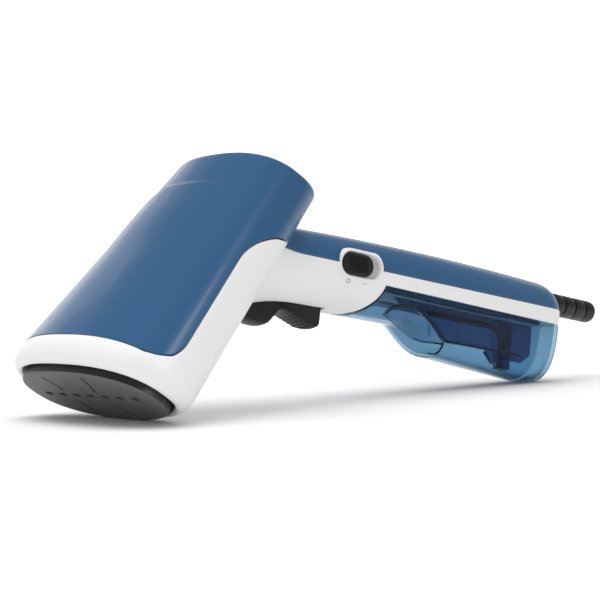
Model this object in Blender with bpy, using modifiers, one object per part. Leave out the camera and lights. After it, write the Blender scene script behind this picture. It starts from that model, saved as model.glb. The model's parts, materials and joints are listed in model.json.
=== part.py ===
"""Handheld garment steamer: steam head, handle with a trigger and a slide switch, clip-on tank and cord.

Lengths are in millimetres and are turned into metres when a mesh is made. Three nested frames are used:
  plate frame   x across, y up the head, z out of the steam plate, origin at the plate's centre
  handle frame  x across, y towards the finger side (called k), z along the handle (called t)
  world frame   the steamer at rest on a table, on the plate's lower edge and the tank's bottom
"""

import math

import bmesh
import bpy
from mathutils import Matrix

# ---- driving dimensions (millimetres and degrees) ----
MM = 0.001
GAP = 0.3                 # clearance between neighbouring pieces
WALL = 2.3                # moulded shells
TANK_WALL = 1.8
RING_POINTS = 28

REST_PITCH = 56.84        # turn of the plate's normal below the horizontal at rest
PLATE_CENTRE_Y = -168.83  # world place of the plate's centre
PLATE_CENTRE_Z = 10.40
HANDLE_ANGLE = 65.3       # handle's finger side, measured from the plate's normal

PLATE_HALF_W = 44.0
PLATE_HALF_H = 19.7
PLATE_POWER = 2.34
SLOT_COUNT = 7
SLOT_PITCH = 10.3
SLOT_SIZE = (4.2, 1.9)
GROOVES = (               # x, y, lean away from the y axis towards x, length
    (-16.6, 9.6, -11.0, 11.0),
    (9.9, 10.2, 22.0, 13.4),
    (-15.6, -11.2, 4.0, 12.4),
    (10.9, -11.2, -32.0, 14.1),
)
GROOVE_SECTION = (0.9, 1.0)   # width, and twice the depth
HEATER_EXIT_Y = 17.2      # the heater's ends leave on the underside

RIM_SETBACK = 10.6        # widest rim section behind the plate face
LIP_SETBACK = 3.0
HEAD_LENGTH = 114.2       # from the widest rim section to the start of the back dome
HEAD_TILT = 10.9          # head axis against the plate's normal
HEAD_BACK_TILT = 7.2      # last section against the head axis
HEAD_FRONT = (51.5, 25.6)
HEAD_BACK = (37.2, 23.6)
HEAD_POWER = 2.5
DOME_DEPTH = 9.0
DOME_POWER = 2.0
SIDE_STRIP_EDGE = 4.9     # top edge of the white side strip, above the head axis

GRIP_CENTRE = -70.4       # k of the handle's axis
GRIP_RADIUS = 19.0        # half of the handle's width
BACK_DEPTH = 19.9
END_FULLNESS = 0.75       # below one, the rounded end is fuller on the finger side
SEAM_K = -74.0            # seam between the back cover and the front shell
HANDLE_END = 302.0
END_CAP = 18.0
STRIP_LOW = ((150.0, -67.3), (302.0, -65.1))   # (t, k) of the strip's lower edge
SWITCH = (-74.0, 128.5)   # (k, t) of the knob's centre at off
SWITCH_TRAVEL = 6.0
HOUSING_RADIUS = 22.5     # round end of the white housing, about the knob
HOUSING_DEEPER = 1.0      # its extra depth towards the fingers
TANK_REAR_WALL = 277.0
TRIGGER_PIVOT = (-57.0, 76.0)
TRIGGER_HALF_W = 8.3
TRIGGER_CROWN = 1.7       # extra depth of its finger side in the middle
SLEEVE_K = -79.4          # the cord's axis
SLEEVE_COLLAR = 296.3     # t of the collar held between the shells
SLEEVE_RADIUS = 6.5
SLEEVE_END = 346.5
CORD_END = 331.0          # the cord is cut off inside the sleeve
SLEEVE_SLOTS = (316.0, 326.0, 336.5)
PUMP_K = -78.4            # the pump's axis
PUMP_T = 197.0
SPOUT_K = -60.6           # k of the tank's outlet
HANDLE_SCREWS = (160.0, 262.0)
HEAD_SCREW_S = 58.0
HEAD_SCREW_X = 16.0
HEAD_SCREW_SEAT = 22.3
FLAP = (11.0, 24.0)       # filler opening in the tank's far side, along k and along t
FLAP_PLACE = (-56.0, 236.0)
RAIL_LEAN = math.degrees(math.atan2(STRIP_LOW[1][1] - STRIP_LOW[0][1], STRIP_LOW[1][0] - STRIP_LOW[0][0]))

COLOURS = {               # name: (red, green, blue, roughness, metallic)
    "blue_gloss": (0.035, 0.115, 0.27, 0.25, 0.0),
    "white_satin": (0.85, 0.85, 0.86, 0.4, 0.0),
    "black_plastic": (0.02, 0.02, 0.022, 0.5, 0.0),
    "plate_coating": (0.09, 0.09, 0.095, 0.45, 0.3),
    "tank_clear": (0.05, 0.16, 0.32, 0.08, 0.0),
    "aluminium": (0.6, 0.6, 0.62, 0.35, 1.0),
    "steel": (0.5, 0.5, 0.52, 0.3, 1.0),
    "brass": (0.7, 0.5, 0.2, 0.3, 1.0),
    "silicone": (0.75, 0.3, 0.2, 0.6, 0.0),
    "white_tube": (0.8, 0.82, 0.82, 0.5, 0.0),
    "board_green": (0.03, 0.2, 0.08, 0.5, 0.0),
    "red_wire": (0.5, 0.03, 0.03, 0.5, 0.0),
    "blue_wire": (0.03, 0.08, 0.5, 0.5, 0.0),
    "mica": (0.55, 0.5, 0.4, 0.6, 0.0),
}


# ---- scene helpers ----
def clear_scene():
    for old in list(bpy.data.objects):
        bpy.data.objects.remove(old)


def new_collection(name):
    collection = bpy.data.collections.new(name)
    bpy.context.scene.collection.children.link(collection)
    return collection


def new_material(name):
    red, green, blue, roughness, metallic = COLOURS[name]
    material = bpy.data.materials.new(name)
    material.use_nodes = True
    shader = material.node_tree.nodes["Principled BSDF"]
    shader.inputs["Base Color"].default_value = (red, green, blue, 1.0)
    shader.inputs["Roughness"].default_value = roughness
    shader.inputs["Metallic"].default_value = metallic
    return material


def new_frame(name, parent=None, place=(0, 0, 0), turn_x=0.0):
    """An empty whose axes are the parent's, turned about x."""
    empty = bpy.data.objects.new(name, None)
    PARTS.objects.link(empty)
    empty.parent = parent
    empty.location = [value * MM for value in place]
    empty.rotation_euler = (math.radians(turn_x), 0, 0)
    return empty


def add(name, mesh, frame, look=None, place=(0, 0, 0), turn=(0, 0, 0)):
    """Puts a mesh in the scene as a part, or as a cutter when it has no look."""
    thing = bpy.data.objects.new(name, mesh)
    thing.parent = frame
    thing.location = [value * MM for value in place]
    thing.rotation_euler = [math.radians(angle) for angle in turn]
    if look:
        PARTS.objects.link(thing)
        mesh.materials.append(MATERIALS[look])
        mesh.shade_smooth()
        mesh.set_sharp_from_angle(angle=math.radians(35))
    else:
        CUTTERS.objects.link(thing)
        thing.hide_render = True
        thing.display_type = "WIRE"
    return thing


def combine(target, cutter, operation="DIFFERENCE"):
    modifier = target.modifiers.new(cutter.name, "BOOLEAN")
    modifier.operation = operation
    modifier.object = cutter
    modifier.solver = "EXACT"
    return target


def bevel(target, width, segments=2, angle=40):
    modifier = target.modifiers.new("round_edges", "BEVEL")
    modifier.width = width * MM
    modifier.segments = segments
    modifier.limit_method = "ANGLE"
    modifier.angle_limit = math.radians(angle)
    return target


# ---- shape helpers: each returns an object ----
def box(name, frame, size, place, look=None, turn=(0, 0, 0)):
    shape = bmesh.new()
    bmesh.ops.create_cube(shape, size=1.0)
    bmesh.ops.scale(shape, vec=[value * MM for value in size], verts=shape.verts)
    mesh = bpy.data.meshes.new(name)
    shape.to_mesh(mesh)
    shape.free()
    return add(name, mesh, frame, look, place, turn)


def cylinder(name, frame, radius, length, place, look=None, turn=(0, 0, 0), sides=20):
    """A cylinder centred on its place, along the frame's z unless turned."""
    shape = bmesh.new()
    bmesh.ops.create_cone(shape, cap_ends=True, segments=sides, radius1=radius * MM,
                          radius2=radius * MM, depth=length * MM)
    mesh = bpy.data.meshes.new(name)
    shape.to_mesh(mesh)
    shape.free()
    return add(name, mesh, frame, look, place, turn)


def turned(name, frame, profile, place, look=None, turn=(0, 0, 0), steps=20):
    """A profile of (radius, height) points, top to bottom on its outer side, spun about z."""
    mesh = bpy.data.meshes.new(name)
    points = [(radius * MM, 0, height * MM) for radius, height in profile]
    closed = profile[0][0] > 0
    edges = [(i, i + 1) for i in range(len(points) - 1)]
    if closed:
        edges.append((len(points) - 1, 0))
    mesh.from_pydata(points, edges, [])
    thing = add(name, mesh, frame, look, place, turn)
    spin = thing.modifiers.new("spin", "SCREW")
    spin.axis = "Z"
    spin.steps = steps
    spin.render_steps = steps
    spin.use_merge_vertices = True
    spin.merge_threshold = 0.00001
    spin.use_smooth_shade = True
    return thing


def tube(name, frame, points, radius, look, closed=False):
    """A round wire or hose along points in the frame."""
    curve = bpy.data.curves.new(name, "CURVE")
    curve.dimensions = "3D"
    spline = curve.splines.new("POLY")
    spline.points.add(len(points) - 1)
    for target, point in zip(spline.points, points):
        target.co = [value * MM for value in point] + [1.0]
    curve.bevel_depth = radius * MM
    curve.bevel_resolution = 2
    curve.use_fill_caps = not closed
    spline.use_cyclic_u = closed
    curve.materials.append(MATERIALS[look])
    thing = bpy.data.objects.new(name, curve)
    PARTS.objects.link(thing)
    thing.parent = frame
    return thing


def curve_to_mesh(curve_object, name, look=None):
    """Turns a curve object into a welded mesh object in the same place."""
    bpy.context.view_layer.update()
    evaluated = curve_object.evaluated_get(bpy.context.evaluated_depsgraph_get())
    mesh = bpy.data.meshes.new_from_object(evaluated)
    shape = bmesh.new()
    shape.from_mesh(mesh)
    bmesh.ops.remove_doubles(shape, verts=shape.verts, dist=0.00001)
    bmesh.ops.recalc_face_normals(shape, faces=shape.faces)
    shape.to_mesh(mesh)
    shape.free()
    mesh.materials.clear()
    thing = add(name, mesh, curve_object.parent, look)
    thing.matrix_basis = curve_object.matrix_basis
    bpy.data.objects.remove(curve_object)
    return thing


def prism(name, frame, outline, x_low, x_high, look=None, place=(0, 0, 0)):
    """A flat outline of (y, z) points in the frame, carried from x_low to x_high."""
    curve = bpy.data.curves.new(name, "CURVE")
    curve.dimensions = "2D"
    curve.fill_mode = "BOTH"
    spline = curve.splines.new("POLY")
    spline.points.add(len(outline) - 1)
    for target, (y, z) in zip(spline.points, outline):
        target.co = (y * MM, z * MM, 0.0, 1.0)
    spline.use_cyclic_u = True
    curve.extrude = (x_high - x_low) / 2 * MM
    flat = bpy.data.objects.new(name + "_outline", curve)
    CUTTERS.objects.link(flat)
    flat.parent = frame
    flat.location = [(place[0] + (x_low + x_high) / 2) * MM, place[1] * MM, place[2] * MM]
    flat.rotation_euler = (math.pi / 2, 0, math.pi / 2)
    return curve_to_mesh(flat, name, look)


def superellipse(half_x, half_y, power, count=RING_POINTS):
    """Points around |x/a|^p + |y/b|^p = 1."""
    points = []
    for index in range(count):
        angle = 2 * math.pi * index / count
        c = math.cos(angle)
        s = math.sin(angle)
        x = half_x * math.copysign(abs(c) ** (2 / power), c)
        y = half_y * math.copysign(abs(s) ** (2 / power), s)
        points.append((x, y))
    return points


def loft(name, frame, rings, look=None):
    """A closed skin through rings of equal count, with flat ends."""
    shape = bmesh.new()
    rows = [[shape.verts.new([value * MM for value in point]) for point in ring] for ring in rings]
    for lower, upper in zip(rows, rows[1:]):
        for index in range(len(lower)):
            after = (index + 1) % len(lower)
            shape.faces.new((lower[index], lower[after], upper[after], upper[index]))
    shape.faces.new(list(reversed(rows[0])))
    shape.faces.new(rows[-1])
    bmesh.ops.recalc_face_normals(shape, faces=shape.faces)
    mesh = bpy.data.meshes.new(name)
    shape.to_mesh(mesh)
    shape.free()
    return add(name, mesh, frame, look)


def oval_ring(half_x, half_y, power, z, y=0.0, count=RING_POINTS):
    return [(px, y + py, z) for px, py in superellipse(half_x, half_y, power, count)]


def stadium(k, t, length, width, points=7):
    """A slot outline along t, centred on (k, t)."""
    radius = width / 2
    outline = []
    for side in (1, -1):
        for index in range(points):
            angle = math.pi * index / (points - 1)
            outline.append((k + side * radius * math.cos(angle),
                            t + side * (length / 2 - radius + radius * math.sin(angle))))
    return outline


def arc(centre, radius, start, end, points):
    """(k, t) points on a circle; angles run from +k towards +t, in degrees."""
    turned_points = []
    for index in range(points):
        angle = math.radians(start + (end - start) * index / (points - 1))
        turned_points.append((centre[0] + radius * math.cos(angle), centre[1] + radius * math.sin(angle)))
    return turned_points


def cap_steps(power, count):
    """(advance, factor) pairs of a rounded end, both as parts of one."""
    steps = []
    for index in range(1, count + 1):
        angle = math.radians(88) * index / count
        steps.append((math.sin(angle) ** (2 / power), math.cos(angle) ** (2 / power)))
    return steps


def blend(low, high, amount):
    amount = min(max(amount, 0.0), 1.0)
    return low + (high - low) * amount * amount * (3 - 2 * amount)


# ---- head geometry, in the plate frame ----
def head_point(s, v):
    """(y, z) of a point s behind the widest rim section and v below the head axis."""
    tilt = math.radians(HEAD_TILT)
    y = -(s * math.sin(tilt) + v * math.cos(tilt))
    z = -RIM_SETBACK - s * math.cos(tilt) + v * math.sin(tilt)
    return y, z


def head_ring(s, inset, factor=1.0, advance=0.0):
    share = s / HEAD_LENGTH
    half_w = (HEAD_FRONT[0] + (HEAD_BACK[0] - HEAD_FRONT[0]) * share - inset) * factor
    half_h = (HEAD_FRONT[1] + (HEAD_BACK[1] - HEAD_FRONT[1]) * share - inset) * factor
    lean = math.radians(HEAD_TILT - (HEAD_TILT + (HEAD_BACK_TILT - HEAD_TILT) * share))
    cy, cz = head_point(s + advance, 0.0)
    ring = []
    for px, py in superellipse(half_w, half_h, HEAD_POWER):
        ring.append((px, cy + py * math.cos(lean), cz + py * math.sin(lean)))
    return ring


def rim_rings(profile, inset=0.0):
    """Rings of the front rim from (setback, shrink) pairs, the lip first."""
    rings = []
    for setback, shrink in profile:
        rings.append(oval_ring(HEAD_FRONT[0] - inset - shrink, HEAD_FRONT[1] - inset - 0.72 * shrink,
                               HEAD_POWER, -setback))
    return rings


def head_skin(name, inset, front, look=None):
    """The head's closed skin: front rim rings, straight taper, domed back."""
    rings = list(front)
    for share in (0.0, 0.25, 0.5, 0.75, 1.0):
        rings.append(head_ring(HEAD_LENGTH * share, inset))
    for advance, factor in cap_steps(DOME_POWER, 4):
        rings.append(head_ring(HEAD_LENGTH, inset, factor, advance * (DOME_DEPTH - inset)))
    return loft(name, PLATE, rings, look)


def outer_head(name, grow=0.0, look=None):
    profile = ((LIP_SETBACK, 4.9), (3.6, 3.3), (5.4, 1.6), (7.8, 0.5))
    return head_skin(name, -grow, rim_rings(profile, -grow), look)


def inner_head(name):
    return head_skin(name, WALL, rim_rings(((5.2, 2.2), (7.8, 0.6)), WALL))


def cover_region(name, gap):
    """The part of space above and behind the seam between the head's two shells."""
    edge = SIDE_STRIP_EDGE
    seam = [(0.2, -40), (0.2, -15.5), (2.3, -11.4), (6.3, -6.9), (13.6, -edge), (61.5, -edge)]
    seam += [(67.2, -3.9), (73.1, -1.5), (78.3, 1.8), (83.3, 6.0), (87.6, 11.5), (98.0, 24.0), (103.0, 40.0)]
    seam = [(s + gap, v - gap) for s, v in seam]
    outline = [head_point(s, v) for s, v in seam + [(150.0, 40.0), (150.0, -40.0)]]
    return prism(name, PLATE, outline, -60, 60)


# ---- handle geometry, in the handle frame ----
def finger_depth(t):
    """How far the handle, and the tank under it, stand out on the finger side of the axis."""
    near_head = 3.6 * min(max(1 - (t - 74.0) / 26.0, 0.0), 1.0) ** 2
    grip = blend(20.3, 19.4, (t - 112.0) / 16.0)
    bulge = blend(0.0, 13.6, (t - 175.5) / 28.0)
    slope = 0.068 * max(t - 202.0, 0.0)
    return grip + near_head + bulge + slope


def back_depth(t):
    """How far the handle stands out on its back: most near its middle."""
    return BACK_DEPTH - 0.0002 * (t - 208.0) ** 2


def handle_ring(t, inset, factor=1.0, advance=0.0):
    half_w = (GRIP_RADIUS - inset) * factor
    back = (back_depth(t) - inset) * factor
    front = (finger_depth(t) - inset) * factor ** END_FULLNESS
    front_power = blend(2.2, 2.7, (t - 150.0) / 50.0)
    ring = []
    for index in range(RING_POINTS):
        angle = 2 * math.pi * index / RING_POINTS
        c = math.cos(angle)
        s = math.sin(angle)
        power = front_power if s > 0 else 2.2
        depth = front if s > 0 else back
        x = half_w * math.copysign(abs(c) ** (2 / power), c)
        k = depth * math.copysign(abs(s) ** (2 / power), s)
        ring.append((x, GRIP_CENTRE + k, t + advance))
    return ring


def handle_skin(name, inset, look=None, first=50.0):
    cap_start = HANDLE_END - END_CAP
    stations = [first, 74.0, 81.0, 88.0, 96.0, 112.0, 120.0, 128.0, 150.0, 175.0, 180.0, 185.0, 189.5, 194.0, 199.0,
                204.0, 243.0, cap_start]
    rings = [handle_ring(t, inset) for t in stations]
    for advance, factor in cap_steps(2.7, 5):
        rings.append(handle_ring(cap_start, inset, factor, advance * (END_CAP - inset)))
    return loft(name, HANDLE, rings, look)


def strip_low(t):
    (t0, k0), (t1, k1) = STRIP_LOW
    return k0 + (k1 - k0) * (t - t0) / (t1 - t0)


def housing_edge(radius, drop):
    """(k, t) points down the strip's lower edge and round the housing's end, at an offset."""
    start_k = strip_low(150.0) + drop
    deeper = 1 + HOUSING_DEEPER / radius
    reach = math.degrees(math.acos((start_k - SWITCH[0]) / (radius * deeper)))
    points = [(strip_low(320.0) + drop, 320.0)]
    for k, t in arc(SWITCH, radius, reach, 0.0, 9):
        points.append((SWITCH[0] + (k - SWITCH[0]) * deeper, t))
    return points


def bezel(name, grow, x_low, x_high, look=None):
    outline = stadium(SWITCH[0] - 0.2, SWITCH[1] + 3.8, 30.0 + 2 * grow, 14.6 + 2 * grow)
    return prism(name, HANDLE, outline, x_low, x_high, look)


# ---- outer shells ----
def make_head_shells():
    cover = outer_head("head_top_cover", look="blue_gloss")
    combine(cover, cover_region("cut_cover_keep", 0.0), "INTERSECT")
    combine(cover, inner_head("cut_head_inside"))
    passage = cylinder("cut_handle_passage", HANDLE, 12.5, 50, (0, GRIP_CENTRE + 1.5, 70))
    combine(cover, passage)

    body = outer_head("head_lower_body", look="white_satin")
    combine(body, cover_region("cut_cover_away", -GAP))
    combine(body, inner_head("cut_body_inside"))
    mouth = loft("cut_plate_mouth", PLATE,
                 [oval_ring(PLATE_HALF_W + 0.5, PLATE_HALF_H + 0.5, PLATE_POWER, z) for z in (-9.0, 2.0)])
    combine(body, mouth)
    combine(body, passage)
    for side, label in ((-1, "left"), (1, "right")):
        x = side * HEAD_SCREW_X

        def across_head(name, radius, v_top, v_low, sides=12):
            y, z = head_point(HEAD_SCREW_S, (v_top + v_low) / 2)
            turn = (90 - HEAD_TILT, 0, 0)
            return cylinder(name, PLATE, radius, v_low - v_top, (x, y, z), None, turn, sides)

        combine(body, across_head(f"cut_screw_hole_{label}", 1.8, 15.0, 30.0))
        combine(body, across_head(f"cut_screw_seat_{label}", 3.4, HEAD_SCREW_SEAT, 32.0))
        combine(cover, across_head(f"add_head_post_{label}", 3.4, -21.6, 19.8, 14), "UNION")
        combine(cover, across_head(f"cut_head_pilot_{label}", 1.8, 4.0, 22.0))
        y, z = head_point(HEAD_SCREW_S, HEAD_SCREW_SEAT)
        turned(f"head_screw_{label}", PLATE,
               [(0, 1.5), (3.0, 1.5), (3.0, 0.3), (1.4, 0.3), (1.4, -14.0), (0, -15.0)],
               (x, y, z), "steel", (90 - HEAD_TILT, 0, 0), 12)


def make_handle_shells():
    inside_outline = [(-95.0, 56.0), (-45.0, 56.0), (-45.0, SWITCH[1])]
    inside_outline += list(reversed(housing_edge(HOUSING_RADIUS - WALL, -WALL)))[:-1]
    inside_outline += [(strip_low(320.0) - WALL, 320.0), (-95.0, 320.0)]
    inside = handle_skin("cut_handle_inside", WALL, first=40.0)
    combine(inside, prism("cut_handle_room", HANDLE, inside_outline, -30, 30), "INTERSECT")
    head = outer_head("cut_head_outside", grow=GAP)
    sleeve_hole = cylinder("cut_sleeve_hole", HANDLE, 4.9, 30, (0, SLEEVE_K, 305))
    groove = turned("cut_sleeve_collar", HANDLE, [(6.3, 1.4), (6.3, -1.4), (3.0, -1.4), (3.0, 1.4)],
                    (0, SLEEVE_K, SLEEVE_COLLAR), None, steps=24)

    back = handle_skin("handle_back_cover", 0.0, "blue_gloss")
    seam = SEAM_K - GAP / 2
    keep = [(-99.0, 40.0), (seam, 40.0), (seam, 320.0), (-99.0, 320.0)]
    combine(back, prism("cut_back_keep", HANDLE, keep, -30, 30), "INTERSECT")
    combine(back, inside)
    combine(back, bezel("cut_back_bezel", GAP, 9, 30))
    combine(back, head)
    combine(back, sleeve_hole)

    front = handle_skin("handle_front_shell", 0.0, "white_satin")
    seam = SEAM_K + GAP / 2
    keep = [(seam, 40.0), (-40.0, 40.0), (-40.0, SWITCH[1])]
    keep += list(reversed(housing_edge(HOUSING_RADIUS, 0.0)))[:-1]
    keep += [(strip_low(320.0), 320.0), (seam, 320.0)]
    combine(front, prism("cut_front_keep", HANDLE, keep, -30, 30), "INTERSECT")
    combine(front, bezel("add_bezel", 0.0, 13.5, 19.5), "UNION")
    combine(front, inside)
    combine(front, head)
    combine(front, sleeve_hole)
    for side in (-1, 1):
        ear = box(f"add_pin_ear_{side}", HANDLE, (4.0, 9.0, 9.0), (side * 11.4, -57.5, 77.5))
        combine(front, ear, "UNION")
    combine(front, head)
    combine(front, cylinder("cut_pin_bore", HANDLE, 1.8, 25.4, (0,) + TRIGGER_PIVOT, None, (0, 90, 0), 16))
    combine(front, box("cut_trigger_slot", HANDLE, (2 * TRIGGER_HALF_W + 0.8, 16.0, 64.8), (0, -49.5, 88.35)))
    pocket = stadium(SWITCH[0] - 0.3, SWITCH[1] + SWITCH_TRAVEL / 2, 27.0, 11.4)
    combine(front, prism("cut_switch_pocket", HANDLE, pocket, 17.9, 25))
    window = stadium(SWITCH[0], SWITCH[1] + SWITCH_TRAVEL / 2, 18.5, 4.0)
    combine(front, prism("cut_switch_window", HANDLE, window, 10, 25))
    combine(front, cylinder("cut_spout_socket", HANDLE, 4.6, 22, (0, SPOUT_K, 147), sides=16))
    for index, t in enumerate(HANDLE_SCREWS):
        hole = cylinder(f"cut_handle_screw_{index}", HANDLE, 1.8, 12, (0, -67, t), None, (90, 0, 0), 12)
        combine(front, hole)
        sink = cylinder(f"cut_screw_head_{index}", HANDLE, 3.6, 6, (0, strip_low(t) + 1.6, t), None, (90, 0, 0), 16)
        combine(front, sink)
        post = cylinder(f"add_handle_post_{index}", HANDLE, 3.2, 15.4, (0, -79.6, t), None, (90, 0, 0), 14)
        combine(back, post, "UNION")
        pilot = cylinder(f"cut_handle_pilot_{index}", HANDLE, 1.8, 10, (0, -75, t), None, (90, 0, 0), 12)
        combine(back, pilot)
        turned(f"handle_screw_{index + 1}", HANDLE,
               [(0, 1.1), (3.0, 1.1), (3.0, 0.0), (1.4, 0.0), (1.4, -9.0), (0, -10.0)],
               (0, strip_low(t) - 1.1, t), "steel", (-90, 0, 0), 12)
    for side in (-1, 1):
        rail = box(f"cut_rail_groove_{side}", HANDLE, (2.8, 2.0, 160.0), (side * 9, -66.9, 234), None, (-RAIL_LEAN, 0, 0))
        combine(front, rail)
    combine(back, groove)
    combine(front, groove)


# ---- steam head internals, in the plate frame ----
def make_plate():
    flange = [(46.3, 21.2, -8.4), (46.3, 21.2, -6.6)]
    face = [(PLATE_HALF_W, PLATE_HALF_H, -6.6), (PLATE_HALF_W, PLATE_HALF_H, -0.9),
            (PLATE_HALF_W - 0.3, PLATE_HALF_H - 0.3, -0.25), (PLATE_HALF_W - 1.0, PLATE_HALF_H - 1.0, 0.0)]
    rings = [oval_ring(a, b, PLATE_POWER, z) for a, b, z in flange + face]
    plate = loft("steam_plate", PLATE, rings, "plate_coating")
    for index in range(SLOT_COUNT):
        x = (index - (SLOT_COUNT - 1) / 2) * SLOT_PITCH
        slot = box(f"cut_steam_slot_{index}", PLATE, SLOT_SIZE + (14,), (x, 0.35, -4))
        combine(plate, slot)
    width, height = GROOVE_SECTION
    for index, (x, y, lean, length) in enumerate(GROOVES):
        groove = box(f"cut_groove_{index}", PLATE, (width, length, height), (x, y, 0.05), None, (0, 0, -lean))
        combine(plate, groove)
    seal_outer = [oval_ring(46.2, 21.1, PLATE_POWER, z) for z in (-6.3, -5.5)]
    seal = loft("plate_seal", PLATE, seal_outer, "silicone")
    combine(seal, loft("cut_seal_hole", PLATE, [oval_ring(44.4, 20.1, PLATE_POWER, z) for z in (-8, -4)]))


def make_generator():
    chamber = loft("steam_chamber", PLATE,
                   [oval_ring(38.0, 15.6, PLATE_POWER, z, count=28) for z in (-24.0, -8.7)], "aluminium")
    combine(chamber, box("cut_water_pocket", PLATE, (54, 15, 10), (0, 0, -20)))
    combine(chamber, box("cut_steam_channel", PLATE, (66, 2.6, 5), (0, 0.35, -10)))
    for side in (-1, 1):
        feed = cylinder(f"cut_steam_feed_{side}", PLATE, 1.4, 10, (side * 22, 0.35, -13), None, (0, 0, 0), 10)
        combine(chamber, feed)
    heater_path = []
    for index in range(23):
        angle = math.radians(-75 + 330 * index / 22)
        c = math.cos(angle)
        s = math.sin(angle)
        power = 2 / PLATE_POWER
        heater_path.append((37.6 * math.copysign(abs(c) ** power, c), 15.2 * math.copysign(abs(s) ** power, s), -14.0))
    ends = [(heater_path[0][0], -HEATER_EXIT_Y, -33.0), (heater_path[0][0], -HEATER_EXIT_Y, -20.0)]
    far_ends = [(heater_path[-1][0], -HEATER_EXIT_Y, -20.0), (heater_path[-1][0], -HEATER_EXIT_Y, -33.0)]
    tube("heating_element", PLATE, ends + heater_path + far_ends, 2.2, "steel")
    groove = tube("heater_groove_path", PLATE, heater_path, 2.6, "steel", closed=True)
    combine(chamber, curve_to_mesh(groove, "cut_heater_groove"))
    combine(chamber, box("cut_heater_exit", PLATE, (30, 7, 12), (0, -16.6, -18)))
    box("chamber_gasket", PLATE, (62, 20, 1.0), (0, 0, -24.9), "silicone")
    combine(bpy.data.objects["chamber_gasket"], box("cut_gasket_hole", PLATE, (52, 13, 3), (0, 0, -25)))
    lid = box("chamber_lid", PLATE, (62, 20, 2.4), (0, 0, -27.0), "aluminium")
    bevel(lid, 0.5)
    combine(lid, cylinder("cut_nozzle_hole", PLATE, 2.6, 6, (-14, 0, -27), None, (0, 0, 0), 14))
    for index, (x, y) in enumerate(((-28.8, -7.6), (-28.8, 7.6), (28.8, -7.6), (28.8, 7.6))):
        for target, label in ((lid, "lid"), (bpy.data.objects["chamber_gasket"], "gasket"), (chamber, "chamber")):
            hole = cylinder(f"cut_{label}_screw_{index}", PLATE, 1.6, 18, (x, y, -25), None, (0, 0, 0), 12)
            combine(target, hole)
        turned(f"chamber_screw_{index + 1}", PLATE,
               [(0, -5.2 + 7), (1.25, 1.8), (1.25, -10.0), (2.6, -10.0), (2.6, -12.0), (0, -12.0)],
               (x, y, -18.5), "steel", (0, 0, 0), 12)
    turned("water_nozzle", PLATE, [(2.2, 9.0), (2.2, 1.2), (3.8, 1.2), (3.8, 0.0), (2.2, 0.0),
                                   (2.2, -6.0), (1.0, -6.0), (1.0, 9.0)],
           (-14, 0, -29.8), "brass", (0, 0, 0), 14)
    cylinder("thermostat", PLATE, 7.5, 6.0, (10, 0, -31.6), "steel", (0, 0, 0), 20)
    cylinder("thermal_fuse", PLATE, 1.8, 12.0, (22.5, 0, -30.6), "brass", (90, 0, 0), 12)
    shield_rings = [oval_ring(40.0, 18.6, PLATE_POWER, z, -5.0) for z in (-38.4, -39.6)]
    shield = loft("heat_shield", PLATE, shield_rings, "mica")
    combine(shield, box("cut_shield_window", PLATE, (16, 10, 5), (-14, 0, -39)))
    combine(shield, box("cut_shield_wires", PLATE, (30, 9, 5), (0, -HEATER_EXIT_Y, -39)))


# ---- handle internals, in the handle frame ----
def make_switch():
    k, t = SWITCH
    slide = new_frame("power_slide_axis", HANDLE, (0, k, t))
    knob = prism("switch_knob", slide, stadium(0, 0, 20.5, 10.4), 18.3, 20.9, "black_plastic")
    bevel(knob, 0.5)
    combine(knob, box("add_knob_neck", slide, (7.0, 3.2, 9.0), (15.6, 0, 0)), "UNION")
    carrier = box("switch_carrier", slide, (1.6, 9.0, 24.0), (13.4, 0, -1.5), "black_plastic")
    combine(carrier, box("cut_carrier_neck", slide, (4.0, 3.8, 9.6), (14.0, 0, 0)))
    combine(carrier, box("add_carrier_dog", slide, (4.0, 3.0, 3.0), (10.8, 0, 6.5)), "UNION")
    body = box("power_switch", HANDLE, (10.0, 12.0, 26.0), (6.6, k, t + 5), "black_plastic")
    combine(body, box("cut_switch_track", HANDLE, (5.0, 3.8, 10.6), (11.2, k, t + 9.5)))


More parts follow.
